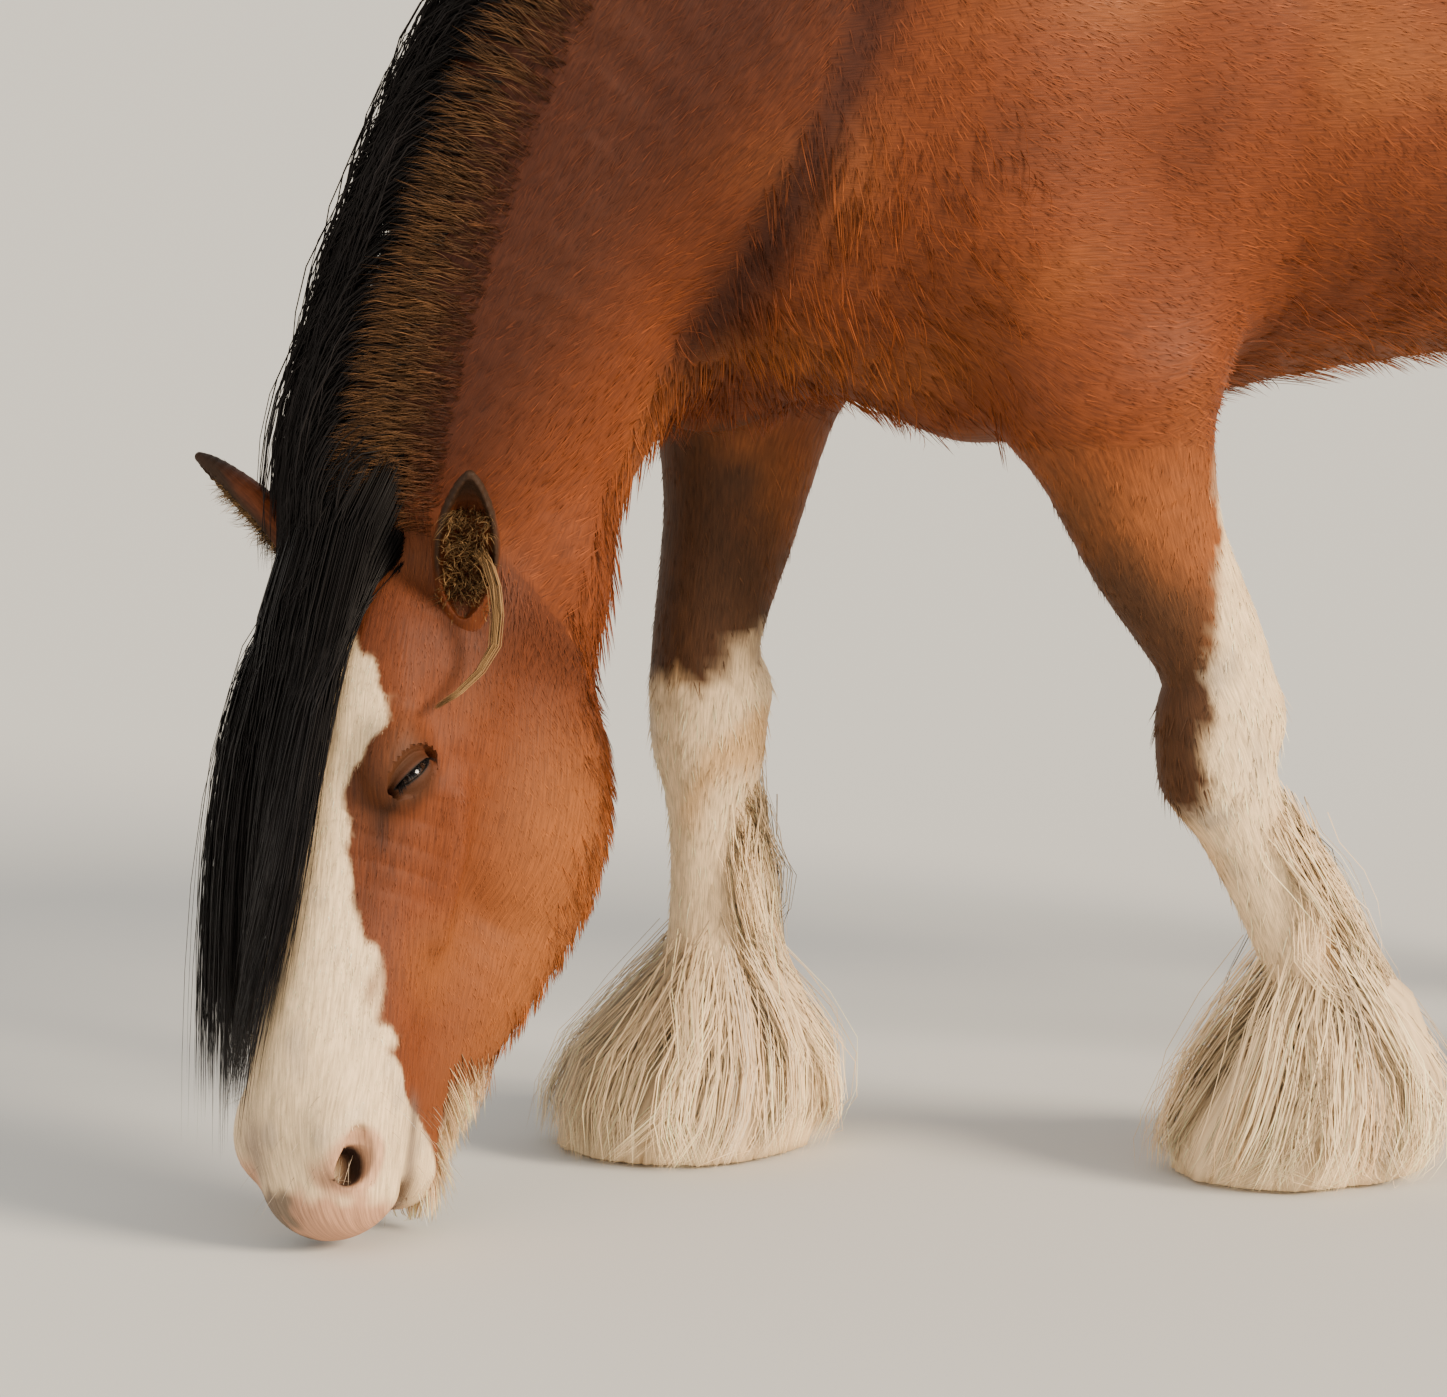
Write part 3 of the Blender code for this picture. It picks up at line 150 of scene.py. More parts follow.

# Colours of hair, skin, eyes and hooves, as linear red, green and blue
# Lighter and darker bay serve both as the coat's own uneven tone and as painted light and painted shade
BAY_LIGHT_AND_LIT = np.array((0.360, 0.120, 0.030))
BAY_DARK_AND_SHADE = np.array((0.052, 0.013, 0.005))
# Brown-black is the dark hair of knees, hocks and ear rims, and also painted shade round the eyes; the cream
# stain is also painted shade between the locks of the feather
BROWN_BLACK_AND_SHADE = np.array((0.070, 0.030, 0.012))
CREAM_STAIN_AND_SHADE = np.array((0.600, 0.340, 0.130))
CREAM_GREY = np.array((0.380, 0.330, 0.280))
CREST_BROWN = np.array((0.165, 0.080, 0.034))
PINK = np.array((0.600, 0.290, 0.175))
LIP_GREY = np.array((0.105, 0.075, 0.062))
LID_GREY = np.array((0.060, 0.021, 0.009))
LID_RIM = np.array((0.010, 0.008, 0.007))
IRIS = np.array((0.040, 0.018, 0.008))
PUPIL = np.array((0.002, 0.002, 0.002))
EYE_WHITE = np.array((0.10, 0.07, 0.055))
HORN_LIGHT = np.array((0.30, 0.21, 0.13))
HORN_DARK = np.array((0.10, 0.07, 0.05))
# Near black painted deep in the nostrils as painted shade
NOSTRIL_SHADE = np.array((0.030, 0.014, 0.012))
EAR_GOLD = np.array((0.360, 0.205, 0.085))
WHISKER = np.array((0.42, 0.33, 0.24))
SKIN_SHADE = 0.82             # the skin is this much darker than the hair on it

# On each leg: top of the dark, top of the white, and how much the white drops towards the front
DARK_TOP = (0.700, 0.800, 0.760, 0.760)
WHITE_TOP = (0.600, 0.575, 0.500, 0.500)
WHITE_SLANT = (0.165, 0.03, 0.04, 0.04)

# Half width of the blaze at places down the head: down, to the right, to the left
BLAZE = ((0.06, 0.004, 0.010), (0.15, 0.034, 0.058), (0.19, 0.042, 0.084), (0.22, 0.046, 0.086),
         (0.27, 0.046, 0.056), (0.31, 0.044, 0.043), (0.36, 0.050, 0.051), (0.41, 0.056, 0.063),
         (0.46, 0.060, 0.068), (0.53, 0.066, 0.073), (0.56, 0.080, 0.084), (0.60, 0.200, 0.200))
BLAZE_SIDE = ((0.50, -0.020), (0.56, 0.006), (0.60, -0.020), (0.64, -0.080), (0.68, -0.100))


def unit(vector):
    vector = np.asarray(vector, float)
    return vector / np.linalg.norm(vector)


def unit_rows(rows):
    return rows / (np.linalg.norm(rows, axis=-1, keepdims=True) + 1e-9)


def head_axes():
    """Down the head, out of the face, and to the horse's left, as unit vectors."""
    down = unit(MUZZLE - POLL)
    yaw = math.radians(HEAD_YAW)
    face = np.array((math.cos(yaw), math.sin(yaw), 0.0))
    face = unit(face - down * face.dot(down))
    return down, face, np.cross(face, down)


HEAD_DOWN, HEAD_FACE, HEAD_LEFT = head_axes()


HEAD_FRAME = np.array((HEAD_DOWN, HEAD_FACE, HEAD_LEFT))
HEAD_STRETCH = np.linalg.norm(MUZZLE - POLL) / HEAD_PLAIN_LENGTH


def on_head(down, face, left):
    """A place on the head, from the poll down the head, out of the face and to the left."""
    return (POLL + HEAD_DOWN * (down * HEAD_STRETCH)
            + (HEAD_FACE * face + HEAD_LEFT * left) * HEAD_BREADTH)


class Ellipsoid:
    """A form with three half sizes along three axes."""

    def __init__(self, centre, radii, axes=None):
        self.centre = np.asarray(centre, float)
        self.radii = np.asarray(radii, float)
        self.axes = np.eye(3) if axes is None else np.asarray(axes, float)

    def box(self):
        reach = np.abs(self.axes.T * self.radii).sum(axis=1)
        return self.centre - reach, self.centre + reach

    def distance(self, points):
        local = (points - self.centre) @ self.axes.T
        size = np.sqrt(((local / self.radii) ** 2).sum(axis=-1)) + 1e-9
        slope = np.sqrt(((local / self.radii ** 2) ** 2).sum(axis=-1)) + 1e-9
        return size * (size - 1.0) / slope


class Sweep:
    """An ellipse swept through stations of place, fore-and-aft half size and side half size."""

    def __init__(self, stations, side=(0.0, 1.0, 0.0), steps=4):
        table = np.array([tuple(s[0]) + (s[1], s[2]) for s in stations], float)
        self.rows = smooth_rows(table, steps)
        self.side = unit(side)

    def box(self):
        reach = self.rows[:, 3:5].max(axis=1)[:, None]
        return (self.rows[:, :3] - reach).min(axis=0), (self.rows[:, :3] + reach).max(axis=0)

    def distance(self, points):
        best = None
        for a, b in zip(self.rows[:-1], self.rows[1:]):
            along = b[:3] - a[:3]
            length = np.linalg.norm(along)
            if length < 1e-6:
                continue
            along = along / length
            side = unit(self.side - along * self.side.dot(along))
            deep = np.cross(along, side)
            offset = points - a[:3]
            share = np.clip(offset @ along / length, 0.0, 1.0)
            offset = offset - share[..., None] * (b[:3] - a[:3])
            half_deep = a[3] + (b[3] - a[3]) * share
            half_side = a[4] + (b[4] - a[4]) * share
            half_cap = np.minimum(half_deep, half_side)
            parts = (offset @ deep, offset @ side, offset @ along)
            sizes = (half_deep, half_side, half_cap)
            size = np.sqrt(sum((p / r) ** 2 for p, r in zip(parts, sizes))) + 1e-9
            slope = np.sqrt(sum((p / r ** 2) ** 2 for p, r in zip(parts, sizes))) + 1e-9
            value = size * (size - 1.0) / slope
            best = value if best is None else np.minimum(best, value)
        return best


def smooth_rows(table, steps):
    """More rows through the given ones, on a Catmull-Rom curve."""
    ends = np.vstack((2 * table[0] - table[1], table, 2 * table[-1] - table[-2]))
    rows = []
    for i in range(1, len(ends) - 2):
        p0, p1, p2, p3 = ends[i - 1:i + 3]
        for k in range(steps):
            t = k / steps
            rows.append(0.5 * (2 * p1 + (p2 - p0) * t + (2 * p0 - 5 * p1 + 4 * p2 - p3) * t * t
                               + (3 * p1 - p0 - 3 * p2 + p3) * t ** 3))
    rows.append(table[-1])
    return np.array(rows)


class Flesh:
    """Forms that blend into one; a value below zero is inside."""

    FAR = 1.0

    def __init__(self):
        self.items = []

    def add(self, form, blend):
        self.items.append((form, blend, False))

    def carve(self, form, blend):
        self.items.append((form, blend, True))

    def value(self, points):
        points = np.asarray(points, float)
        total = np.full(points.shape[:-1], self.FAR)
        for form, blend, hollow in self.items:
            low, high = form.box()
            reach = 2.0 * blend + 0.02
            near = np.all((points > low - reach) & (points < high + reach), axis=-1)
            if not near.any():
                continue
            value = form.distance(points[near])
            old = total[near]
            if hollow:
                total[near] = -blend_values(-old, value, blend)
            else:
                total[near] = blend_values(old, value, blend)
        return total

    def on_grid(self, low, step, size):
        """Values on a regular grid, each form worked out only where it can matter."""
        axes = [low[i] + step * np.arange(size[i]) for i in range(3)]
        total = np.full(tuple(size), self.FAR, np.float32)
        for form, blend, hollow in self.items:
            first, last = form.box()
            reach = 2.0 * blend + 0.02
            part = tuple(slice(int(np.searchsorted(a, f - reach)), int(np.searchsorted(a, e + reach)))
                         for a, f, e in zip(axes, first, last))
            if any(p.start >= p.stop for p in part):
                continue
            grid = np.stack(np.meshgrid(*[a[p] for a, p in zip(axes, part)], indexing="ij"), -1)
            value = form.distance(grid.astype(np.float32))
            old = total[part]
            total[part] = -blend_values(-old, value, blend) if hollow else blend_values(old, value, blend)
        return total

    def slope(self, points):
        step = 0.002
        columns = []
        for axis in range(3):
            shift = np.zeros(3)
            shift[axis] = step
            columns.append(self.value(points + shift) - self.value(points - shift))
        return unit_rows(np.stack(columns, axis=-1))


def blend_values(a, b, blend):
    share = np.clip(0.5 + 0.5 * (a - b) / blend, 0.0, 1.0)
    return a * (1 - share) + b * share - blend * share * (1 - share)


# The trunk, from the breast to the buttocks: forward, top, bottom and half width
TRUNK = (
    (0.345, 1.27, 0.985, 0.16),
    (0.24, 1.44, 0.890, 0.24),
    (0.10, 1.58, 0.855, 0.280),
    (-0.08, WITHERS_TOP - 0.03, 0.850, 0.300),
    (-0.28, 1.625, 0.885, 0.340),
    (-0.52, 1.590, 0.950, 0.365),
    (-0.76, 1.615, 0.995, 0.350),
    (-0.98, 1.670, 1.040, 0.325),
    (-1.17, 1.625, 1.060, 0.285),
    (-1.31, 1.520, 1.120, 0.210),
)

# The neck: place, half depth and half width
NECK = (
    ((0.06, 0.0, 1.340), 0.30, 0.215),
    ((0.27, 0.0, 1.315), 0.285, 0.180),
    ((0.435, 0.0, 1.180), 0.228, 0.145),
    ((0.540, -0.008, 1.020), 0.186, 0.125),
    ((0.598, -0.022, 0.885), 0.165, 0.112),
    ((0.632, -0.034, 0.780), 0.150, 0.102),
)

# Where the legs stand: centre of the hoof, forward and left
FOREFOOT = {"left": (-0.260, 0.190), "right": (0.345, -0.185)}
HINDFOOT = {"left": (-0.985, 0.190), "right": (-1.310, -0.190)}

# The foreleg's joints, forward of the hoof's centre and up
ELBOW = {"left": (-0.030, 0.215, 0.900), "right": (0.225, -0.205, 0.905)}
KNEE = {"left": (-0.172, 0.198, 0.520), "right": (0.285, -0.192, 0.520)}
FETLOCK_BACK = 0.065
FETLOCK_HEIGHT = 0.195
STIFLE = {"left": (-0.900, 0.235, 1.010), "right": (-0.985, -0.230, 1.000)}
HOCK = {"left": (-1.135, 0.205, 0.600), "right": (-1.425, -0.200, 0.580)}


def fetlock(foot):
    return np.array((foot[0] - FETLOCK_BACK, foot[1], FETLOCK_HEIGHT))


def add_trunk(flesh):
    rows = [((f, 0.0, (top + low) / 2), (top - low) / 2, half) for f, top, low, half in TRUNK]
    flesh.add(Sweep(rows), 0.05)
    # Withers and the ridge of the back
    flesh.add(Sweep((((0.08, 0, 1.57), 0.07, 0.07), ((-0.06, 0, WITHERS_TOP - 0.075), 0.072, 0.075),
                     ((-0.30, 0, 1.555), 0.06, 0.08))), 0.10)
    for sign in SIDE.values():
        # Point of the hip, rump and buttock
        flesh.add(Ellipsoid((-0.93, sign * 0.235, 1.48), (0.12, 0.085, 0.10)), 0.12)
        flesh.add(Ellipsoid((-1.12, sign * 0.165, 1.42), (0.24, 0.165, 0.21)), 0.10)
        # Barrel
        flesh.add(Ellipsoid((-0.55, sign * 0.11, 1.205), (0.42, 0.275, 0.255)), 0.12)


def add_neck(flesh):
    flesh.add(Sweep(NECK), 0.07)
    # Crest of the neck
    crest = [np.array(c) + crest_direction(c) * (deep - 0.055) for c, deep, _ in NECK[1:]]
    flesh.add(Sweep([(c, 0.060, 0.050) for c in crest]), 0.06)
    # Windpipe at the lower edge
    throat = [np.array(c) - crest_direction(c) * (deep - 0.070) for c, deep, _ in NECK[2:]]
    flesh.add(Sweep([(c, 0.062, 0.055) for c in throat]), 0.06)


def crest_direction(place):
    """Across the neck towards its crest, at a place on its middle line."""
    centres = np.array([c for c, _, _ in NECK])
    i = int(np.argmin(np.linalg.norm(centres - np.asarray(place), axis=1)))
    along = unit(centres[min(i + 1, len(centres) - 1)] - centres[max(i - 1, 0)])
    return np.array((-along[2], 0.0, along[0]))


def add_foreleg(flesh, name):
    sign = SIDE[name]
    elbow = np.array(ELBOW[name])
    knee = np.array(KNEE[name])
    foot = FOREFOOT[name]
    ankle = fetlock(foot)
    reach = elbow[0]
    # Shoulder blade, point of the shoulder and upper arm
    point = np.array((reach + 0.115, sign * 0.175, 1.12))
    flesh.add(Sweep((((-0.03, sign * 0.135, 1.52), 0.10, 0.085), ((0.08, sign * 0.185, 1.32), 0.13, 0.105),
                     (point, 0.115, 0.105))), 0.09)
    flesh.add(Sweep(((point, 0.105, 0.095), (elbow + (0.02, -sign * 0.01, 0.03), 0.115, 0.085))), 0.07)
    flesh.add(Sweep((((-0.13, sign * 0.195, 1.31), 0.10, 0.085),
                     (elbow + (-0.045, 0.0, 0.05), 0.085, 0.075))), 0.09)
    # Breast muscle on the inner side
    flesh.add(Ellipsoid((reach + 0.10, sign * 0.085, 0.98), (0.125, 0.085, 0.14)), 0.07)
    # Forearm
    middle = elbow * 0.55 + knee * 0.45
    flesh.add(Sweep(((elbow, 0.120, 0.088), (elbow * 0.8 + knee * 0.2, 0.105, 0.078),
                     (middle, 0.086, 0.066), (knee + (0.0, 0.0, 0.075), 0.068, 0.060),
                     (knee, 0.072, 0.066), (knee - (0.0, 0.0, 0.055), 0.060, 0.056))), 0.05)
    # Pisiform bone behind the knee
    flesh.add(Ellipsoid(knee + (-0.055, sign * 0.012, 0.005), (0.030, 0.026, 0.042)), 0.035)
    add_lower_leg(flesh, knee - (0.0, 0.0, 0.05), ankle, foot)


def add_lower_leg(flesh, top, ankle, foot):
    """Cannon with its tendons, fetlock and pastern, with a coat of long hair on them."""
    middle = (top + ankle) / 2
    flesh.add(Sweep(((top, 0.060, 0.053), (middle, 0.053, 0.045), (ankle, 0.063, 0.058))), 0.03)
    flesh.add(Sweep(((top + (-0.030, 0, 0), 0.032, 0.032), (middle + (-0.034, 0, 0), 0.030, 0.030),
                     (ankle + (-0.045, 0, -0.010), 0.045, 0.048))), 0.03)
    hoof_top = np.array((foot[0] - 0.012, foot[1], HOOF_HEIGHT))
    flesh.add(Sweep(((ankle, 0.060, 0.056), (ankle * 0.5 + hoof_top * 0.5, 0.062, 0.062),
                     (hoof_top + (0, 0, 0.012), 0.078, 0.078),
                     (hoof_top - (0, 0, 0.03), 0.080, 0.080))), 0.03)


def add_hind_leg(flesh, name):
    sign = SIDE[name]
    stifle = np.array(STIFLE[name])
    hock = np.array(HOCK[name])
    foot = HINDFOOT[name]
    ankle = fetlock(foot)
    shift = hock[0] - HOCK["left"][0]
    # Thigh
    flesh.add(Sweep((((-1.06, sign * 0.190, 1.36), 0.24, 0.125),
                     ((-1.075 + 0.25 * shift, sign * 0.215, 1.17), 0.235, 0.120),
                     (stifle * 0.62 + hock * 0.38 + (-0.035, 0, 0.10), 0.165, 0.098))), 0.08)
    flesh.add(Ellipsoid(stifle + (0.015, -sign * 0.01, 0.03), (0.085, 0.080, 0.120)), 0.07)
    # Hamstrings behind the thigh
    flesh.add(Sweep((((-1.30, sign * 0.120, 1.38), 0.085, 0.085),
                     ((-1.315 + 0.3 * shift, sign * 0.165, 1.16), 0.080, 0.080),
                     (stifle * 0.35 + hock * 0.65 + (-0.09, 0, 0.11), 0.050, 0.048))), 0.07)
    # Gaskin and hock
    flesh.add(Sweep(((stifle * 0.7 + hock * 0.3 + (-0.02, 0, 0.03), 0.130, 0.088),
                     (stifle * 0.35 + hock * 0.65, 0.092, 0.070),
                     (hock + (0.010, 0, 0.050), 0.074, 0.062), (hock + (0.010, 0, -0.010), 0.076, 0.063),
                     (hock + (0.012, 0, -0.075), 0.062, 0.056))), 0.05)
    flesh.add(Sweep(((hock + (-0.082, 0, 0.075), 0.026, 0.028),
                     (hock + (-0.045, 0, -0.02), 0.036, 0.034))), 0.035)
    flesh.add(Sweep(((stifle * 0.35 + hock * 0.65 + (-0.075, 0, 0.06), 0.030, 0.026),
                     (hock + (-0.080, 0, 0.080), 0.026, 0.026))), 0.04)
    add_lower_leg(flesh, hock + (0.012, 0.0, -0.070), ankle, foot)


# The head: down from the poll, then out of the face, half depth and half width
SKULL = (
    (0.015, -0.070, 0.062, 0.078),
    (0.090, -0.055, 0.098, 0.102),
    (0.190, -0.042, 0.118, 0.110),
    (0.290, -0.028, 0.106, 0.097),
    (0.400, -0.012, 0.090, 0.080),
    (0.520, 0.004, 0.084, 0.077),
    (0.620, 0.009, 0.081, 0.081),
    (0.690, 0.002, 0.065, 0.069),
)
JAW = (
    (0.110, -0.165, 0.098, 0.074),
    (0.210, -0.182, 0.118, 0.082),
    (0.300, -0.182, 0.121, 0.082),
    (0.400, -0.155, 0.103, 0.074),
    (0.500, -0.115, 0.082, 0.062),
    (0.600, -0.080, 0.056, 0.052),
    (0.668, -0.076, 0.038, 0.044),
)
EYE_PLACE = (0.270, 0.020, 0.094)
NOSTRIL_PLACE = (0.678, 0.032, 0.057)


def head_sweep(rows):
    """A swept ellipse on the head's middle line: down, out of the face, half depth, half width."""
    return Sweep([(on_head(d, f, 0.0), deep * HEAD_BREADTH, wide * HEAD_BREADTH)
                  for d, f, deep, wide in rows], side=HEAD_LEFT)


def head_string(rows, sign):
    """A round form beside the middle line: down, out of the face, to the side, half size."""
    return Sweep([(on_head(d, f, sign * w), size * HEAD_BREADTH, size * HEAD_BREADTH)
                  for d, f, w, size in rows])


def head_ball(down, face, left, radii):
    """An ellipsoid on the head, with its sizes down, out of the face and to the side."""
    return Ellipsoid(on_head(down, face, left), np.array(radii) * HEAD_BREADTH, HEAD_FRAME)


def add_head(flesh):
    flesh.add(head_sweep(SKULL), 0.04)
    flesh.add(head_sweep(JAW), 0.045)
    # Throat between the jaw and the neck
    flesh.add(Ellipsoid((0.562, -0.018, 0.690), (0.088, 0.080, 0.125)), 0.06)
    # Broad top of the skull and the bridge of the nose
    flesh.add(head_ball(0.17, 0.030, 0, (0.12, 0.045, 0.085)), 0.04)
    flesh.add(head_sweep(((0.28, 0.055, 0.025, 0.042), (0.42, 0.057, 0.025, 0.042),
                          (0.56, 0.054, 0.025, 0.042))), 0.03)
    for sign in SIDE.values():
        # Cheek muscle, cheek crest and temple
        flesh.add(head_ball(0.255, -0.150, sign * 0.066, (0.125, 0.095, 0.038)), 0.03)
        flesh.add(head_string(((0.285, -0.030, 0.094, 0.014), (0.350, -0.042, 0.086, 0.013),
                               (0.430, -0.044, 0.070, 0.011)), sign), 0.03)
        flesh.add(head_ball(0.060, -0.070, sign * 0.075, (0.055, 0.050, 0.035)), 0.04)
        # Ring of bone round the eye, with its brow
        down, out, left = EYE_PLACE
        flesh.add(head_ball(down - 0.012, out + 0.012, sign * (left - 0.012), (0.046, 0.036, 0.028)), 0.025)
        # Hollow above the eye
        hollow = head_ball(down - 0.075, out - 0.012, sign * (left + 0.034), (0.030, 0.022, 0.020))
        flesh.carve(hollow, 0.03)
        # Wing of the nostril
        flesh.add(head_ball(0.648, 0.032, sign * 0.056, (0.052, 0.042, 0.031)), 0.02)
    # Upper lip, lower lip and chin
    flesh.add(head_ball(0.700, -0.006, 0, (0.036, 0.050, 0.062)), 0.025)
    flesh.add(head_ball(0.672, -0.086, 0, (0.040, 0.032, 0.046)), 0.02)


def carve_head(flesh):
    for sign in SIDE.values():
        # Opening of the nostril, with its comma shape
        down, out, left = NOSTRIL_PLACE
        flesh.carve(head_string(((down - 0.026, out + 0.006, left + 0.026, 0.009),
                                 (down, out + 0.002, left + 0.022, 0.018),
                                 (down + 0.008, out - 0.004, left - 0.012, 0.014)), sign), 0.008)
        # Line of the mouth
        flesh.carve(head_string(((0.590, -0.048, 0.082, 0.006), (0.640, -0.053, 0.070, 0.006),
                                 (0.690, -0.057, 0.052, 0.006), (0.712, -0.059, 0.0, 0.006)), sign), 0.008)
        # Slit between the lids
        down, out, left = EYE_PLACE
        slit = ((down - 0.016, out - 0.012, left + 0.010, 0.006),
                (down, out + 0.001, left + 0.018, 0.008),
                (down + 0.018, out + 0.008, left + 0.010, 0.006))
        flesh.carve(head_string(slit, sign), 0.005)


def eye_centre(name):
    """The eyeball lies just under the lids."""
    down, out, left = EYE_PLACE
    return on_head(down, out, SIDE[name] * (left - 0.010))


# Root of the tail and the tail bone below it: place, half depth and half width
TAIL_TOP = (((-1.320, 0, 1.505), 0.050, 0.055), ((-1.395, 0, 1.480), 0.045, 0.048))
TAIL_ROOT = (((-1.24, 0, 1.525), 0.060, 0.065),) + TAIL_TOP
TAIL_BONE = TAIL_TOP + (((-1.450, 0, 1.370), 0.040, 0.044), ((-1.470, 0, 1.200), 0.034, 0.038),
                        ((-1.480, 0, 1.020), 0.042, 0.046), ((-1.485, 0, 0.860), 0.022, 0.025))


def build_flesh():
    flesh = Flesh()
    add_trunk(flesh)
    add_neck(flesh)
    add_head(flesh)
    for name in SIDE:
        add_foreleg(flesh, name)
        add_hind_leg(flesh, name)
    flesh.add(Sweep(TAIL_ROOT), 0.04)
    carve_head(flesh)
    return flesh


# Share of the ear's length, place behind its middle line, half depth and half width
EAR_OUTSIDE = (
    (-0.26, 0.004, 0.024, 0.026),
    (-0.10, 0.003, 0.024, 0.026),
    (0.10, 0.004, 0.027, 0.029),
    (0.30, 0.006, 0.029, 0.036),
    (0.50, 0.004, 0.026, 0.037),
    (0.70, 0.001, 0.021, 0.030),
    (0.87, -0.002, 0.014, 0.018),
    (0.97, -0.004, 0.006, 0.007),
)
EAR_HOLLOW = (
    (0.10, -0.012, 0.012, 0.010),
    (0.25, -0.012, 0.026, 0.024),
    (0.45, -0.014, 0.029, 0.030),
    (0.65, -0.014, 0.026, 0.025),
    (0.82, -0.013, 0.018, 0.015),
    (0.92, -0.012, 0.008, 0.006),
)


def ear_frame(name):
    """Root, direction and opening of an ear; the left one faces out, the right one forward."""
    root = np.array(EAR_ROOT[name])
    axis = unit(np.array(EAR_TIP[name]) - root)
    opening = np.array(EAR_OPENING[name])
    opening = unit(opening - axis * axis.dot(opening))
    return root, axis, opening


CORNERS = np.array([(i, j, k) for i in (0, 1) for j in (0, 1) for k in (0, 1)])
EDGES = [(a, b) for a in range(8) for b in range(a + 1, 8)
         if np.abs(CORNERS[a] - CORNERS[b]).sum() == 1]


def surface_net(values, origin, step):
    """Quads where the values on a grid change sign, one vertex to each mixed cell."""
    shape = values.shape
    inside = values < 0
    count = np.zeros([n - 1 for n in shape], int)
    for i, j, k in CORNERS:
        count += inside[i:shape[0] - 1 + i, j:shape[1] - 1 + j, k:shape[2] - 1 + k]
    cells = np.argwhere((count > 0) & (count < 8))
    index = np.full(count.shape, -1)
    index[tuple(cells.T)] = np.arange(len(cells))
    corner_values = np.stack([values[tuple((cells + c).T)] for c in CORNERS], axis=1)
    total = np.zeros((len(cells), 3))
    hits = np.zeros(len(cells))
    for a, b in EDGES:
        va, vb = corner_values[:, a], corner_values[:, b]
        cross = (va < 0) != (vb < 0)
        share = np.where(cross, va / np.where(cross, va - vb, 1.0), 0.0)[:, None]
        total += np.where(cross[:, None], CORNERS[a] + share * (CORNERS[b] - CORNERS[a]), 0.0)
        hits += cross
    points = origin + (cells + total / hits[:, None]) * step
    quads = []
    for axis in range(3):
        u, v = (axis + 1) % 3, (axis + 2) % 3
        low = np.argwhere(np.take(inside, range(shape[axis] - 1), axis)
                          != np.take(inside, range(1, shape[axis]), axis))
        low = low[(low[:, u] > 0) & (low[:, v] > 0) & (low[:, u] < shape[u] - 1) & (low[:, v] < shape[v] - 1)]
        around = []
        for du, dv in ((0, 0), (1, 0), (1, 1), (0, 1)):
            cell = low.copy()
            cell[:, u] -= du
            cell[:, v] -= dv
            around.append(index[tuple(cell.T)])
        quad = np.stack(around, axis=1)
        flip = ~inside[tuple(low.T)]
        quad[flip] = quad[flip][:, ::-1]
        quads.append(quad)
    return points, np.vstack(quads)


# Where the horse stands in the frame, found from the sole of the left forehoof
SOLE_LOW, SOLE_HIGH = [np.array(corner, float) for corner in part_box("forehoof_left")]
STAND = np.array(((SOLE_LOW[0] + SOLE_HIGH[0]) / 2 + FOREFOOT["left"][0],
                  (SOLE_LOW[1] + SOLE_HIGH[1]) / 2 + FOREFOOT["left"][1], 0.0))

FLESH_NODES = ("torso", "neck", "head", "ear_left", "ear_right", "tail",
               "foreleg_left_upper", "foreleg_left_lower", "foreleg_right_upper", "foreleg_right_lower",
               "hindleg_left_upper", "hindleg_left_lower", "hindleg_right_upper", "hindleg_right_lower")

# The cuts that divide the unwrap of the skin
HEAD_CUT = on_head(-0.004, 0.0, 0.0)
HEAD_CUT_NORMAL = unit(-HEAD_DOWN * 0.84 - HEAD_FACE * 0.54)
NECK_CUT = np.array((0.300, 0.0, 1.32))
NECK_CUT_NORMAL = unit((0.93, 0.0, 0.37))

WORK = {}


def in_frame(points):
    """From forward, left, up to the frame's x, y, z."""
    return np.asarray(points, float) * (-1.0, -1.0, 1.0) + STAND


def flesh_form():
    if "flesh" not in WORK:
        WORK["flesh"] = build_flesh()
    return WORK["flesh"]


def ramp(value, low, high):
    """0 below low, 1 above high and smooth between."""
    share = np.clip((value - low) / (high - low), 0.0, 1.0)
    return share * share * (3 - 2 * share)


def mix(first, second, share):
    return first * (1 - share[..., None]) + second * share[..., None]


def blotch(points, size, seed):
    """Smooth uneven values between about -1 and 1, with spots of about the given size."""
    draw = np.random.default_rng(seed)
    total = 0.0
    for _ in range(7):
        direction = unit(draw.normal(size=3)) * 2 * math.pi / size * draw.uniform(0.6, 1.5)
        total = total + np.sin(points @ direction + draw.uniform(0, 2 * math.pi))
    return total / 3.0


def head_place(points):
    """Down the head, out of the face and to the left, in the units of the head's tables."""
    local = (np.asarray(points) - POLL) @ HEAD_FRAME.T
    return local[..., 0] / HEAD_STRETCH, local[..., 1] / HEAD_BREADTH, local[..., 2] / HEAD_BREADTH


def leg_of(points):
    """For each point the nearest leg's number, its middle line at that height and the gap to it."""
    best = np.full(points.shape[:-1], 9.0)
    which = np.zeros(points.shape[:-1], int)
    middle = np.zeros(points.shape[:-1] + (2,))
    for n, (foot, joint, top) in enumerate(LEG_LINES):
        heights = (0.0, FETLOCK_HEIGHT, joint[2], top[2])
        knots = (foot, (foot[0] - 0.04, foot[1]), joint, top)
        line = [np.interp(points[..., 2], heights, [p[i] for p in knots]) for i in (0, 1)]
        gap = np.hypot(points[..., 0] - line[0], points[..., 1] - line[1])
        nearer = gap < best
        best = np.where(nearer, gap, best)
        which = np.where(nearer, n, which)
        for i in (0, 1):
            middle[..., i] = np.where(nearer, line[i], middle[..., i])
    return which, middle, best


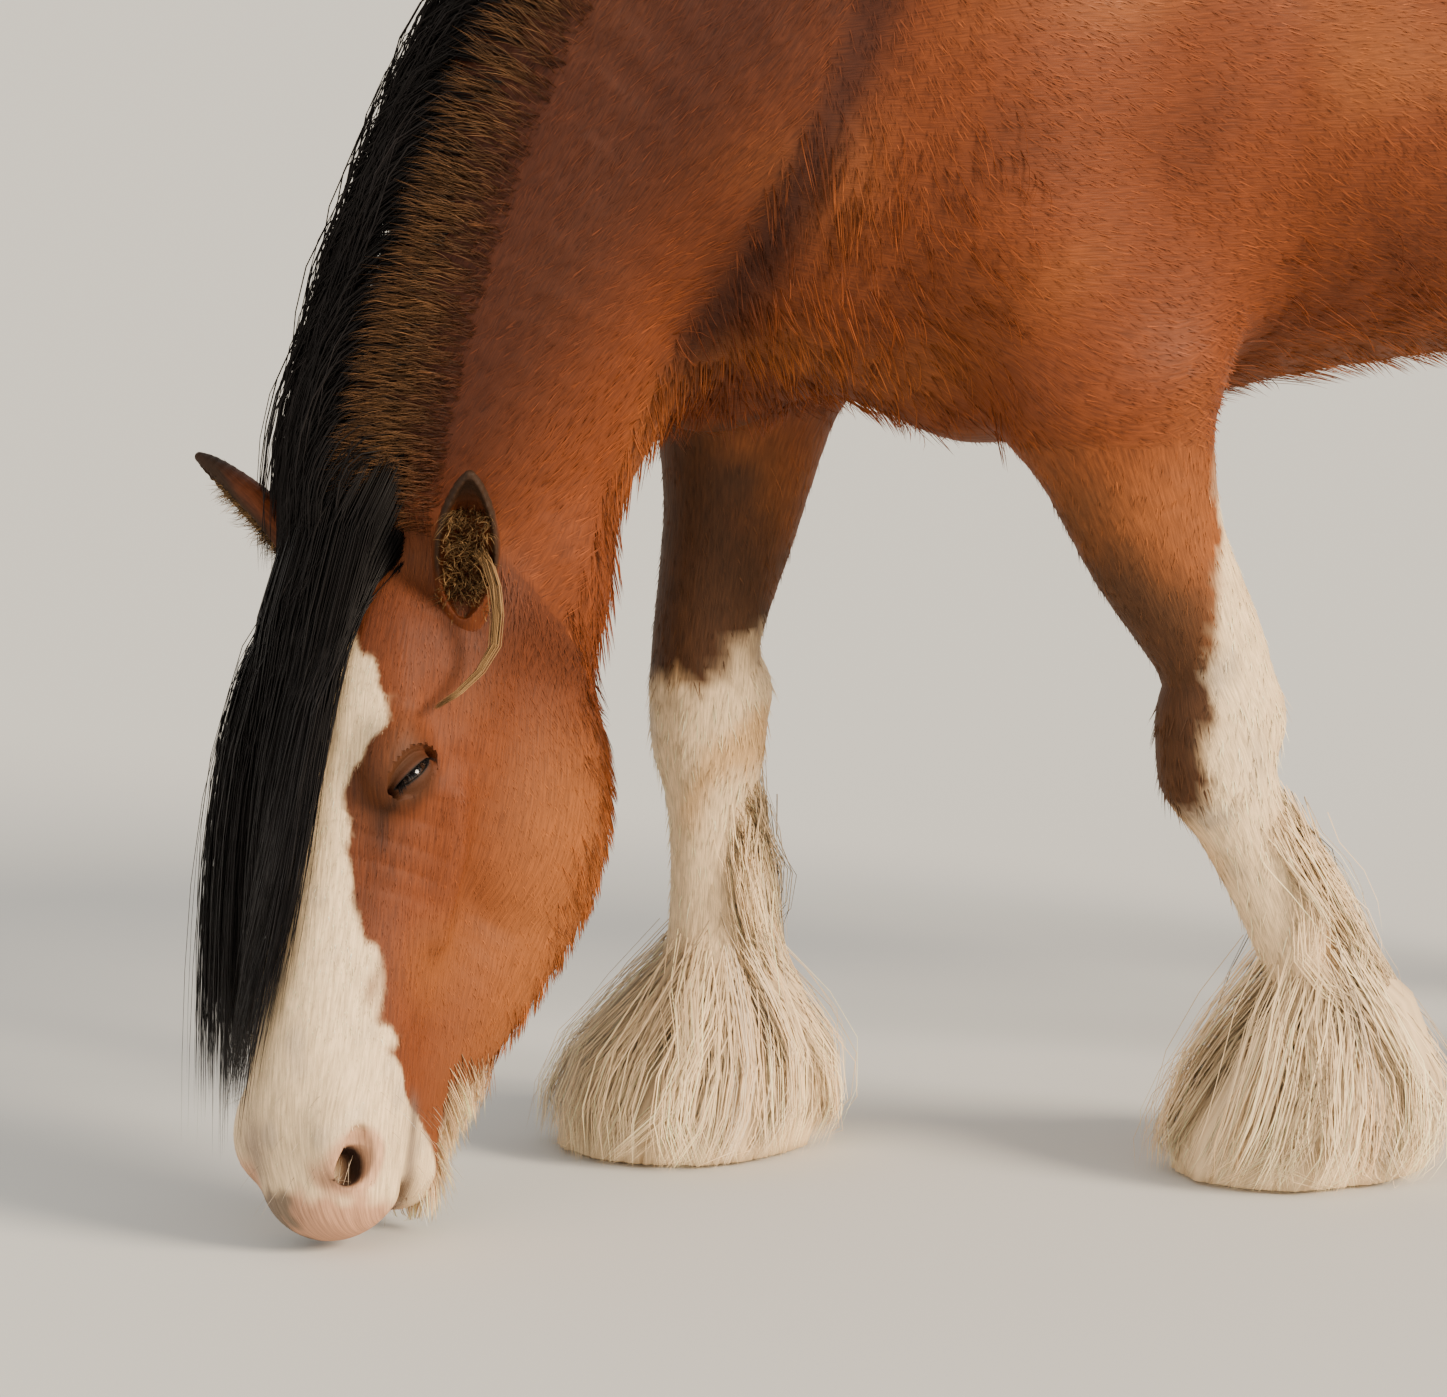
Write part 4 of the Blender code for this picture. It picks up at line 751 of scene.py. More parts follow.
LEG_NAMES = ("fore_left", "fore_right", "hind_left", "hind_right")

# Foot, knee or hock, and elbow or stifle of each leg
LEG_LINES = tuple((foot[name], joint[name], top[name])
                  for foot, joint, top in ((FOREFOOT, KNEE, ELBOW), (HINDFOOT, HOCK, STIFLE))
                  for name in SIDE)

TRUNK_PART, NECK_PART, HEAD_PART, LEG_PART = 0, 1, 2, 3


def part_of(points):
    """The part of the horse that each point is on: trunk, neck, head or one of four legs."""
    part = np.full(points.shape[:-1], TRUNK_PART)
    which, _, gap = leg_of(points)
    low = np.where(points[..., 0] > -0.5, 0.86, 0.95)
    leg = (points[..., 2] < low) & (gap < 0.24) & (points[..., 0] < 0.60)
    part = np.where(leg, LEG_PART + which, part)
    neck = ((points - NECK_CUT) @ NECK_CUT_NORMAL > 0) & ~leg
    part = np.where(neck, NECK_PART, part)
    head = ((points - HEAD_CUT) @ HEAD_CUT_NORMAL < 0) & (points[..., 0] > 0.45) & (points[..., 2] < 1.0)
    return np.where(head, HEAD_PART, part)


# The unwrap: a box of the square for each part, left, bottom, width and height
UNWRAP = ((0.00, 0.00, 0.50, 0.50), (0.50, 0.00, 0.26, 0.50), (0.00, 0.50, 0.44, 0.50),
          (0.45, 0.51, 0.13, 0.48), (0.59, 0.51, 0.13, 0.48), (0.73, 0.51, 0.13, 0.48), (0.87, 0.51, 0.12, 0.48),
          (0.77, 0.00, 0.10, 0.24), (0.88, 0.00, 0.10, 0.24), (0.77, 0.25, 0.21, 0.24))
EAR_PART, TAIL_PART = 7, 9

# Rough girth and length of each part in metres, so that the streaks of the skin keep one size
PART_GIRTH = (2.4, 1.2, 0.9, 0.35, 0.35, 0.4, 0.4, 0.15, 0.15, 0.2)
PART_LENGTH = (2.1, 0.95, 0.66, 1.0, 1.0, 1.0, 1.0, 0.25, 0.25, 1.6)


def unwrap(points, part):
    """Turn round a part's middle line and share along it, each from 0 to 1."""
    turn = np.zeros(points.shape[:-1])
    along = np.zeros(points.shape[:-1])
    x, y, z = points[..., 0], points[..., 1], points[..., 2]
    trunk = part == TRUNK_PART
    turn = np.where(trunk, np.arctan2(y, 1.22 - z), turn)
    along = np.where(trunk, (x + 1.55) / 2.10, along)
    neck_axis = up_neck()
    up = unit(np.array((-neck_axis[2], 0.0, neck_axis[0])))
    offset = points - np.array(NECK[3][0])
    neck = part == NECK_PART
    turn = np.where(neck, np.arctan2(y, -(offset @ up)), turn)
    along = np.where(neck, (offset @ neck_axis + 0.50) / 0.95, along)
    down, out, left = head_place(points)
    head = part == HEAD_PART
    turn = np.where(head, np.arctan2(left, out + 0.08), turn)
    along = np.where(head, (down + 0.08) / 0.86, along)
    _, middle, _ = leg_of(points)
    leg = (part >= LEG_PART) & (part < LEG_PART + 4)
    turn = np.where(leg, np.arctan2(y - middle[..., 1], middle[..., 0] - x), turn)
    along = np.where(leg, z / 1.0, along)
    tail = part == TAIL_PART
    turn = np.where(tail, np.arctan2(y, x + 1.46), turn)
    along = np.where(tail, z / 1.6, along)
    for k, name in enumerate(SIDE):
        root, axis, opening = ear_frame(name)
        across = np.cross(axis, opening)
        local = points - root
        ear = part == EAR_PART + k
        turn = np.where(ear, np.arctan2(local @ across, -(local @ opening)), turn)
        along = np.where(ear, (local @ axis + 0.05) / 0.25, along)
    return turn / (2 * math.pi) + 0.5, np.clip(along, 0.0, 1.0)


def on_unwrap(turn, along, part):
    """Places on the unit square, kept a little inside each part's own box."""
    boxes = np.array(UNWRAP)[part]
    inner = np.clip(np.stack((turn, along), axis=-1), 0.0, 1.0) * 0.96 + 0.02
    return boxes[..., 0:2] + inner * boxes[..., 2:4]


def up_neck():
    """Direction up the neck, towards the poll."""
    return unit(np.array(NECK[-1][0]) - np.array(NECK[1][0]))


def crest_side(points):
    """How far places lie from the middle line of the neck towards the crest."""
    axis = up_neck()
    return (points - np.array(NECK[3][0])) @ np.array((-axis[2], 0.0, axis[0]))


def plain(colour, count):
    """The same colour for a number of strands."""
    return np.broadcast_to(colour, (count, 3))


def palette():
    """The three colours that the panel sets: bay, cream and black."""
    coat = bpy.context.scene.horse_coat
    return np.array(coat.bay), np.array(coat.cream), np.array(coat.black)


def markings_and_shading(points):
    """Colour of the hair at places on the horse, with painted light and painted shade mixed in."""
    points = np.asarray(points, float)
    part = part_of(points)
    fine = blotch(points, 0.035, 5)
    colour = body_markings_and_shading(points, part)
    colour = leg_markings_and_shading(colour, points, part >= LEG_PART, fine)
    return head_markings_and_shading(colour, points, part == HEAD_PART, fine)


def body_markings_and_shading(points, part):
    """Bay, lighter under the belly, with painted light on the cheek, painted shade on the forehead, the temple
    and beside the blaze, and darker bay with painted shade in the crease between neck and shoulder and on the
    upper neck.
    """
    x, z = points[..., 0], points[..., 2]
    broad = blotch(points, 0.30, 6)
    colour = mix(palette()[0], BAY_LIGHT_AND_LIT, ramp(broad, 0.1, 1.6) * 0.45)
    colour = mix(colour, BAY_DARK_AND_SHADE, ramp(-broad + 0.3 * blotch(points, 0.11, 7), 0.2, 1.5) * 0.35)
    belly = ramp(1.05 - z, 0.05, 0.18) * (part == TRUNK_PART) * ramp(-x, 0.1, 0.4)
    colour = mix(colour, BAY_LIGHT_AND_LIT, 0.5 * belly)
    # Painted shade, with some darker hair, in the crease between the neck and the shoulder
    groove_shade = np.exp(-((((points - NECK_CUT) @ NECK_CUT_NORMAL) + 0.03) / 0.035) ** 2) * ramp(z, 0.85, 1.0)
    colour = mix(colour, BAY_DARK_AND_SHADE, 0.96 * groove_shade)
    # Darker bay on the upper neck towards the crest, partly the coat's own colour and partly painted shade on
    # the side turned from the light
    upper_neck_dark_and_shade = (part == NECK_PART) * ramp(crest_side(points), -0.13, 0.06) * ramp(z, 0.60, 0.85)
    colour = mix(colour, BAY_DARK_AND_SHADE, 0.92 * upper_neck_dark_and_shade)
    down, out, _ = head_place(points)
    head = part == HEAD_PART
    # Lighter bay on the cheek, partly the coat's own tone and partly painted light where the cheek faces the
    # light
    colour = mix(colour, BAY_LIGHT_AND_LIT, 0.60 * ramp(-out, 0.02, 0.20) * head * ramp(down, 0.10, 0.30))
    # Painted shade on the head: in the hollow of the temple, over the forehead above the eye, and on the front
    # of the face beside the blaze, where it is partly darker hair
    colour = mix(colour, BAY_DARK_AND_SHADE, 0.55 * head * np.exp(-((down - 0.10) / 0.09) ** 2) * ramp(-out, 0.0, 0.06))
    colour = mix(colour, BAY_DARK_AND_SHADE, 0.50 * head * ramp(0.22 - down, 0.0, 0.12) * ramp(out, -0.12, -0.02))
    return mix(colour, BAY_DARK_AND_SHADE, 0.42 * head * ramp(out, -0.015, 0.045) * ramp(down, 0.20, 0.30))


def leg_markings_and_shading(colour, points, leg, fine):
    """Dark knees and hocks, and stained white below them."""
    x, z = points[..., 0], points[..., 2]
    which, middle, _ = leg_of(points)
    # Lighter bay on the lower legs, partly the coat's own tone and partly painted light where the forearm faces
    # the light
    colour = mix(colour, BAY_LIGHT_AND_LIT, 0.45 * leg * ramp(0.90 - z, 0.0, 0.14))
    ahead = (x - middle[..., 0]) / 0.07
    ragged = 0.014 * blotch(points, 0.07, 8) + 0.006 * fine
    dark_top = np.choose(which, DARK_TOP) + 0.09 * np.clip(ahead, -1, 1)
    colour = mix(colour, BROWN_BLACK_AND_SHADE, ramp(dark_top - z + 2.0 * ragged, -0.10, 0.13) * leg * 0.93)
    white_top = np.choose(which, WHITE_TOP) - np.choose(which, WHITE_SLANT) * ahead
    white = ramp(white_top - z + 1.3 * ragged + 0.008 * blotch(points, 0.018, 14), -0.022, 0.030) * leg
    stain = 0.75 * ramp(blotch(points * (1, 1, 0.5), 0.10, 9), 0.25, 1.3)
    cream = mix(palette()[1], CREAM_STAIN_AND_SHADE, stain)
    cream = mix(cream, CREAM_GREY, 0.5 * ramp(blotch(points, 0.07, 10), 0.5, 1.5))
    return mix(colour, cream, white)


def head_markings_and_shading(colour, points, head, fine):
    """Blaze, bare skin of the muzzle, nostrils with painted shade deep inside, a line of tears, and painted
    shade round the eyes.
    """
    down, out, left = head_place(points)
    at_side = np.abs(left) > 0.06
    table = np.array(BLAZE)
    right_edge = np.interp(down, table[:, 0], table[:, 1])
    left_edge = np.interp(down, table[:, 0], table[:, 2])
    edge = np.where(left > 0, left_edge, right_edge) + 0.004 * fine + 0.004 * blotch(points, 0.07, 12)
    side_edge = np.interp(down, *np.array(BLAZE_SIDE).T) + 0.005 * fine
    blaze = ramp(edge - np.abs(left), -0.003, 0.003) * ramp(out - side_edge, -0.004, 0.004)
    blaze = blaze * head * ramp(down, 0.07, 0.09)
    chin = ramp(down, 0.57, 0.62) * ramp(-out, 0.095, 0.11) * head
    nose = mix(palette()[1], CREAM_GREY, 0.35 * ramp(blotch(points, 0.06, 13), 0.3, 1.3))
    colour = mix(colour, nose, np.maximum(blaze, chin))
    lips = ramp(down + 0.006 * fine, 0.704, 0.724) * head
    skin = mix(PINK, LIP_GREY, ramp(-left + 0.012 * fine + 0.5 * (out - 0.03), -0.012, 0.016))
    colour = mix(colour, skin, lips * 0.85)
    shade = np.exp(-(((down - 0.670) / 0.040) ** 2 + ((left + 0.030) / 0.030) ** 2))
    shade = shade * ramp(out, 0.030, 0.050) * head
    colour = mix(colour, LIP_GREY * 2.0, 0.75 * np.clip(shade, 0, 1))
    mouth = np.exp(-((out + 0.053 + 0.25 * (down - 0.65)) / 0.010) ** 2) * ramp(down, 0.585, 0.62) * head
    colour = mix(colour, LIP_GREY * 1.4, 0.8 * mouth)
    nostril_gap = np.hypot((down - NOSTRIL_PLACE[0]) / 0.034, (out - NOSTRIL_PLACE[1]) / 0.030)
    wing = ramp(np.abs(left), 0.030, 0.045) * head
    colour = mix(colour, PINK, ramp(1.25 - nostril_gap, 0.0, 0.35) * wing * 0.75)
    # Painted shade deep in the opening of the nostril
    pit_shade = ramp(NOSTRIL_PLACE[2] + 0.009 - np.abs(left), -0.004, 0.008) * ramp(1.0 - nostril_gap, 0.0, 0.3)
    colour = mix(colour, NOSTRIL_SHADE, pit_shade * wing)
    eye_gap = np.sqrt(((down - EYE_PLACE[0]) / 0.045) ** 2 + ((out - EYE_PLACE[1]) / 0.034) ** 2)
    colour = mix(colour, LID_GREY, ramp(1.0 - eye_gap, 0.0, 0.6) * at_side * head * 0.75)
    # Line of tears below the eye, and painted shade round the eye and between the eye and the blaze
    streak = np.exp(-((out - 0.040 + 0.10 * (down - 0.30)) / 0.006) ** 2)
    streak = streak * ramp(down, 0.285, 0.30) * ramp(0.37 - down, 0.0, 0.05)
    colour = mix(colour, BAY_DARK_AND_SHADE * 0.5, 0.85 * streak * at_side * head)
    eye_shade = np.exp(-(((down - 0.265) / 0.060) ** 2 + ((out - 0.045) / 0.030) ** 2)) * head * (1 - blaze)
    return mix(colour, BROWN_BLACK_AND_SHADE, 0.65 * np.clip(eye_shade, 0, 1))


def lie_of(points, normals, part=None):
    """Which way the hair lies: back over the trunk, down the legs and the face, and up the ears."""
    part = part_of(points) if part is None else part
    way = np.broadcast_to(np.array((-1.0, 0.0, -0.38)), points.shape).copy()
    breast = ramp(points[..., 0], 0.05, 0.30)[..., None]
    way = way * (1 - breast) + np.array((-0.25, 0.0, -1.0)) * breast
    way = np.where((part == NECK_PART)[..., None], np.array((0.0, 0.0, -0.35)) - up_neck(), way)
    cheek = ramp(-head_place(points)[1], -0.02, 0.14)[..., None]
    way = np.where((part == HEAD_PART)[..., None], HEAD_DOWN - HEAD_FACE * (0.15 + 0.60 * cheek), way)
    way = np.where((part >= LEG_PART)[..., None], np.array((-0.12, 0.0, -1.0)), way)
    for k, name in enumerate(SIDE):
        way = np.where((part == EAR_PART + k)[..., None], ear_frame(name)[1], way)
    sweep = 0.16 * blotch(points, 0.25, 21)[..., None]
    way = way + np.cross(normals, way) * sweep
    way = way - normals * (way * normals).sum(axis=-1, keepdims=True)
    return unit_rows(way)


def new_mesh_object(name, points, faces, sizes, colours, marks=None):
    """A mesh from arrays: faces as one row of corners, with the number of corners of each."""
    mesh = bpy.data.meshes.new(name)
    mesh.vertices.add(len(points))
    mesh.vertices.foreach_set("co", in_frame(points).astype(np.float32).ravel())
    mesh.loops.add(len(faces))
    mesh.loops.foreach_set("vertex_index", faces.astype(np.int32))
    mesh.polygons.add(len(sizes))
    starts = np.concatenate(([0], np.cumsum(sizes)[:-1])).astype(np.int32)
    mesh.polygons.foreach_set("loop_start", starts)
    mesh.update(calc_edges=True)
    layer = mesh.color_attributes.new("hair_colour", "FLOAT_COLOR", "POINT")
    rgba = np.ones((len(points), 4), np.float32)
    rgba[:, :3] = np.clip(colours, 0.0, 1.0)
    layer.data.foreach_set("color", rgba.ravel())
    if marks is not None:
        uv = mesh.uv_layers.new(name="OFBake")
        uv.data.foreach_set("uv", marks.astype(np.float32).ravel())
    mesh.shade_smooth()
    obj = bpy.data.objects.new(name, mesh)
    bpy.context.scene.collection.objects.link(obj)
    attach(obj, "root")
    return obj


def strands(name, paths, widths, thick, sides, colours, root_uv, material, flat_normals=None):
    """Closed three-sided strands along paths, each with a pointed tip, as one object.

    paths is strands x points x 3, widths and thick are strands x points, sides is the
    direction across each strand, and colours is strands x points x 3.
    """
    count, rings = paths.shape[0], paths.shape[1]
    along = unit_rows(np.gradient(paths, axis=1))
    across = unit_rows(sides - along * (sides * along).sum(axis=-1, keepdims=True))
    upward = np.cross(along, across)
    body = rings - 1
    w, t = widths[:, :body, None] / 2, thick[:, :body, None] / 2
    p, a, u = paths[:, :body], across[:, :body], upward[:, :body]
    corners = np.stack((p - a * w - u * t * 0.6, p + a * w - u * t * 0.6, p + u * t), axis=2)
    points = np.concatenate((corners.reshape(count, body * 3, 3), paths[:, -1:]), axis=1)
    tint = np.concatenate((np.repeat(colours[:, :body], 3, axis=1), colours[:, -1:]), axis=1)
    each = body * 3 + 1
    faces, sizes, spots = [], [], []
    corner_share = (0.0, 1.0, 0.5)
    for k in range(body - 1):
        for c in range(3):
            n = (c + 1) % 3
            faces += [k * 3 + c, k * 3 + n, k * 3 + 3 + n, k * 3 + 3 + c]
            here, there = corner_share[c], corner_share[n]
            spots += [(here, k), (there, k), (there, k + 1), (here, k + 1)]
            sizes.append(4)
    last = (body - 1) * 3
    for c in range(3):
        n = (c + 1) % 3
        faces += [last + c, last + n, body * 3]
        spots += [(corner_share[c], body - 1), (corner_share[n], body - 1), (0.5, body)]
        sizes.append(3)
    faces += [2, 1, 0]
    spots += [(0.5, 0), (1.0, 0), (0.0, 0)]
    sizes.append(3)
    faces = (np.array(faces)[None, :] + (np.arange(count) * each)[:, None]).ravel()
    sizes = np.tile(sizes, count)
    local = (np.array(spots, float) * (1.0, 1.0 / body) - 0.5) * 0.003
    marks = (root_uv[:, None, :] + local[None, :, :]).reshape(-1, 2)
    obj = new_mesh_object(name, points.reshape(-1, 3), faces, sizes, tint.reshape(-1, 3), marks)
    if flat_normals is not None:
        turned = np.repeat(flat_normals, each, axis=0) * (-1.0, -1.0, 1.0)
        obj.data.normals_split_custom_set_from_vertices(turned.tolist())
    obj.data.materials.append(material)
    return obj


def scatter(points, quads, weight, number, draw):
    """Places spread over quads by area times weight, with the quad that each is on."""
    a, b, c, d = [points[quads[:, k]] for k in range(4)]
    area = np.linalg.norm(np.cross(c - a, d - b), axis=1) / 2
    share = np.cumsum(area * weight)
    picked = np.searchsorted(share, draw.random(number) * share[-1])
    picked = np.clip(picked, 0, len(quads) - 1)
    u, v = draw.random((2, number, 1))
    a, b, c, d = a[picked], b[picked], c[picked], d[picked]
    return a * (1 - u) * (1 - v) + b * u * (1 - v) + c * u * v + d * (1 - u) * v, picked


def skin_depth(points):
    """How far the skin lies under the coat's outside."""
    part = part_of(points)
    depth = np.where(part == HEAD_PART, 0.0016, 0.0045)
    return np.where((part >= LEG_PART) & (points[..., 2] < 0.45), 0.006, depth)


def values_near_surface(form, low, step, size):
    """Values on a fine grid, worked out only near the surface and filled in roughly elsewhere."""
    many = 4
    outer = [int(math.ceil(n / many)) + 1 for n in size]
    rough = form.on_grid(low, step * many, outer)
    near = np.abs(rough) < 2.4 * step * many
    cell = np.zeros([n - 1 for n in outer], bool)
    for i, j, k in CORNERS:
        cell |= near[i:outer[0] - 1 + i, j:outer[1] - 1 + j, k:outer[2] - 1 + k]
    spread = np.ix_(*[np.arange(n) // many for n in size])
    values = rough[:-1, :-1, :-1][spread].astype(np.float64)
    spots = np.argwhere(cell[spread])
    values[tuple(spots.T)] = form.value(low + step * spots)
    return values


def settled(form, points, depth, rounds=2):
    """Move points on to the surface at a depth, and give its outward directions."""
    for _ in range(rounds):
        slope = form.slope(points)
        points = points - slope * np.clip(form.value(points) + depth, -0.01, 0.01)[:, None]
    return points, form.slope(points)


def skin_patch(form, low, high, step, depth_of):
    """One region of the skin: points, quads and directions."""
    low, high = np.array(low, float), np.array(high, float)
    size = np.ceil((high - low) / step).astype(int) + 1
    values = values_near_surface(form, low, step, size) + float(np.min(depth_of(np.array((low, high)))))
    points, quads = surface_net(values, low, step)
    points, normals = settled(form, points, depth_of(points))
    return points, quads, normals


def kept(points, quads, normals, wanted):
    """Only the quads whose corners are all wanted."""
    quads = quads[wanted[quads].all(axis=1)]
    used = np.unique(quads)
    index = np.full(len(points), -1)
    index[used] = np.arange(len(used))
    return points[used], index[quads], normals[used]


def ear_form(name):
    root, axis, opening = ear_frame(name)
    form = Flesh()
    for rows, join in ((EAR_OUTSIDE, form.add), (EAR_HOLLOW, form.carve)):
        stations = [(root + axis * EAR_LENGTH * t - opening * back, deep, wide)
                    for t, back, deep, wide in rows]
        join(Sweep(stations, side=np.cross(axis, opening), steps=3), 0.004)
    return form


def skin_data():
    """Points, quads, directions and parts of the whole skin, made once."""
    if "skin" in WORK:
        return WORK["skin"]
    form = flesh_form()
    coarse = 1.0
    cut = 0.008 + 0.5 * BODY_STEP * coarse
    patches = []
    points, quads, normals = skin_patch(form, (-1.50, -0.47, 0.066), (1.02, 0.47, 1.76),
                                        BODY_STEP * coarse, skin_depth)
    part = part_of(points)
    beyond = (points - HEAD_CUT) @ HEAD_CUT_NORMAL
    head = (beyond < -cut) & (points[:, 0] > 0.45) & (points[:, 2] < 1.0)
    head &= ~((part >= LEG_PART) & (points[:, 0] < 0.60))
    patches.append(kept(points, quads, normals, ~head) + (None,))
    points, quads, normals = skin_patch(form, (0.40, -0.28, -0.01), (1.02, 0.36, 0.92),
                                        HEAD_STEP * coarse, skin_depth)
    head = ((points - HEAD_CUT) @ HEAD_CUT_NORMAL < cut) & (part_of(points) < LEG_PART)
    patches.append(kept(points, quads, normals, head) + (None,))
    for k, name in enumerate(SIDE):
        root, axis, _ = ear_frame(name)
        ends = np.array((root - axis * 0.06, root + axis * (EAR_LENGTH + 0.01)))
        patch = skin_patch(ear_form(name), ends.min(axis=0) - 0.045, ends.max(axis=0) + 0.045,
                           EAR_STEP, lambda p: np.full(p.shape[:-1], 0.0004))
        patches.append(patch + (EAR_PART + k,))
    start = 0
    rows = []
    for points, quads, normals, part in patches:
        number = part_of(points) if part is None else np.full(len(points), part)
        rows.append((points, quads + start, normals, number))
        start += len(points)
    points, quads, normals, part = [np.concatenate([r[i] for r in rows]) for i in range(4)]
    quads = quads[~in_eye_opening(points[quads].mean(axis=1))]
    WORK["skin"] = (points, quads, normals, part)
    return WORK["skin"]


def skin_colours(points, part):
    colours = markings_and_shading(points)
    for k, name in enumerate(SIDE):
        root, axis, opening = ear_frame(name)
        ear = part == EAR_PART + k
        local = points - root
        share = (local @ axis) / EAR_LENGTH
        rim = ramp(share, 0.62, 0.90) + ramp(local @ opening, -0.004, 0.008) * ramp(share, 0.15, 0.40)
        tone = mix(palette()[0] * 0.8, BROWN_BLACK_AND_SHADE * 0.5, np.clip(rim, 0, 1))
        colours = np.where(ear[:, None], tone, colours)
    return colours


def build_skin():
    points, quads, normals, part = skin_data()
    colours = skin_colours(points, part) * SKIN_SHADE
    centre = points[quads].mean(axis=1)
    face_part = part[quads[:, 0]]
    corner_part = np.repeat(face_part[:, None], 4, axis=1)
    turn, along = unwrap(points[quads], corner_part)
    first, _ = unwrap(centre, face_part)
    turn = first[:, None] + (turn - first[:, None] + 0.5) % 1.0 - 0.5
    marks = on_unwrap(turn, along, corner_part).reshape(-1, 2)
    skin = new_mesh_object("skin", points, quads.ravel(), np.full(len(quads), 4), colours, marks)
    girth = np.array(PART_GIRTH)[face_part]
    length = np.array(PART_LENGTH)[face_part]
    lie = skin.data.uv_layers.new(name="hair_lie")
    lie.data.foreach_set("uv", np.stack((turn * girth[:, None], along * length[:, None]),
                                        axis=-1).astype(np.float32).ravel())
    skin.data.normals_split_custom_set_from_vertices((normals * (-1.0, -1.0, 1.0)).tolist())
    skin.data.materials.append(skin_material())
    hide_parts(*FLESH_NODES)


def grow(roots, heading, lengths, steps, weight, clearance, floor, rise):
    """Paths that leave their roots along a heading and then hang, kept clear of the flesh.

    The pull downward grows over the first steps, as many as rise says.
    """
    form = flesh_form()
    heading = unit_rows(heading)
    paths = [roots - heading * 0.004]
    way, spot = heading, roots
    for k in range(steps):
        way = unit_rows(way - UPWARD * np.reshape(weight, (-1, 1)) * min(1.0, (k + 1) / rise) ** 2)
        spot = spot + way * (lengths / steps)[:, None]
        wanted = clearance * (0.35 + 0.65 * (k + 1) / steps)
        lack = np.clip(wanted - form.value(spot), 0.0, 0.05)
        spot = spot + form.slope(spot) * lack[:, None]
        spot[:, 2] = np.maximum(spot[:, 2], floor)
        way = unit_rows(spot - paths[-1])
        paths.append(spot)
    return np.stack(paths, axis=1)


def clumped(paths, number, pull, draw):
    """Draw strands together towards the tips of a few of them, as hair falls in locks."""
    guides = draw.choice(len(paths), min(number, len(paths)), replace=False)
    gap = np.linalg.norm(paths[:, None, 0] - paths[None, guides, 0], axis=-1)
    mine = guides[np.argmin(gap, axis=1)]
    share = np.linspace(0.0, 1.0, paths.shape[1])[None, :, None] ** 1.3
    pulls = pull * draw.uniform(0.6, 1.0, (len(paths), 1, 1))
    return paths * (1 - share * pulls) + paths[mine] * share * pulls, mine


def taper(count, rings, root, tip=0.35, power=1.5):
    """Widths from root to tip."""
    share = np.linspace(0.0, 1.0, rings) ** power
    return root * (1 - share * (1 - tip)) * np.ones((count, 1))


def tints(base, rings, draw, spread, root=0.75, tip=1.15):
    """Colours for strands: each a little lighter or darker at random, and darker towards the root and lighter
    towards the tip as painted shade among the hair.
    """
    each = np.exp(draw.normal(0.0, spread, (len(base), 1, 1)))
    share = np.linspace(root, tip, rings)[None, :, None]
    return base[:, None, :] * each * share


def root_marks(roots, part=None):
    """Place on the unwrap for each root, on the part that is given or found."""
    part = part_of(roots) if part is None else np.broadcast_to(part, len(roots))
    turn, along = unwrap(roots, part)
    return on_unwrap(turn, along, part)


def hair_lengths(points, part):
    """Length of the short coat at places on the skin."""
    beyond = -((points - HEAD_CUT) @ HEAD_CUT_NORMAL)
    share = np.where(part == HEAD_PART, 1.0 - 0.55 * ramp(beyond, 0.0, 0.13), 1.0)
    share = np.where(part >= EAR_PART, 0.30, share)
    share = np.where((part >= LEG_PART) & (part < EAR_PART), 0.75, share)
    down, _, _ = head_place(points)
    share = np.where((part == HEAD_PART) & (down > 0.55), 0.28, share)
    share = np.where((part == HEAD_PART) & in_eye_opening(points, 1.6), 0.20, share)
    low = (part >= LEG_PART) & (part < EAR_PART) & (points[:, 2] < 0.56)
    return bpy.context.scene.horse_coat.tuft_length * np.where(low, 1.2, share)


def bare_places(points, part):
    """Where no hair grows: the eye's slit, the nostrils, the mouth and inside the ears."""
    down, out, left = head_place(points)
    head = part == HEAD_PART
    eye = np.hypot((down - EYE_PLACE[0]) / 0.026, (out - EYE_PLACE[1]) / 0.020) < 1.0
    nostril = np.hypot((down - NOSTRIL_PLACE[0]) / 0.030, (out - NOSTRIL_PLACE[1]) / 0.026) < 1.0
    lips = down + 0.20 * out > 0.706
    mouth = (np.abs(out + 0.053) < 0.012) & (down > 0.585)
    return head & ((eye & (np.abs(left) > 0.06)) | (nostril & (np.abs(left) > 0.04)) | lips | mouth)


def inside_ears(points, part):
    """Whether places lie in the hollow of an ear."""
    inside = np.zeros(len(points), bool)
    for k, name in enumerate(SIDE):
        root, _, opening = ear_frame(name)
        inside |= (part == EAR_PART + k) & ((points - root) @ opening > -0.012)
    return inside


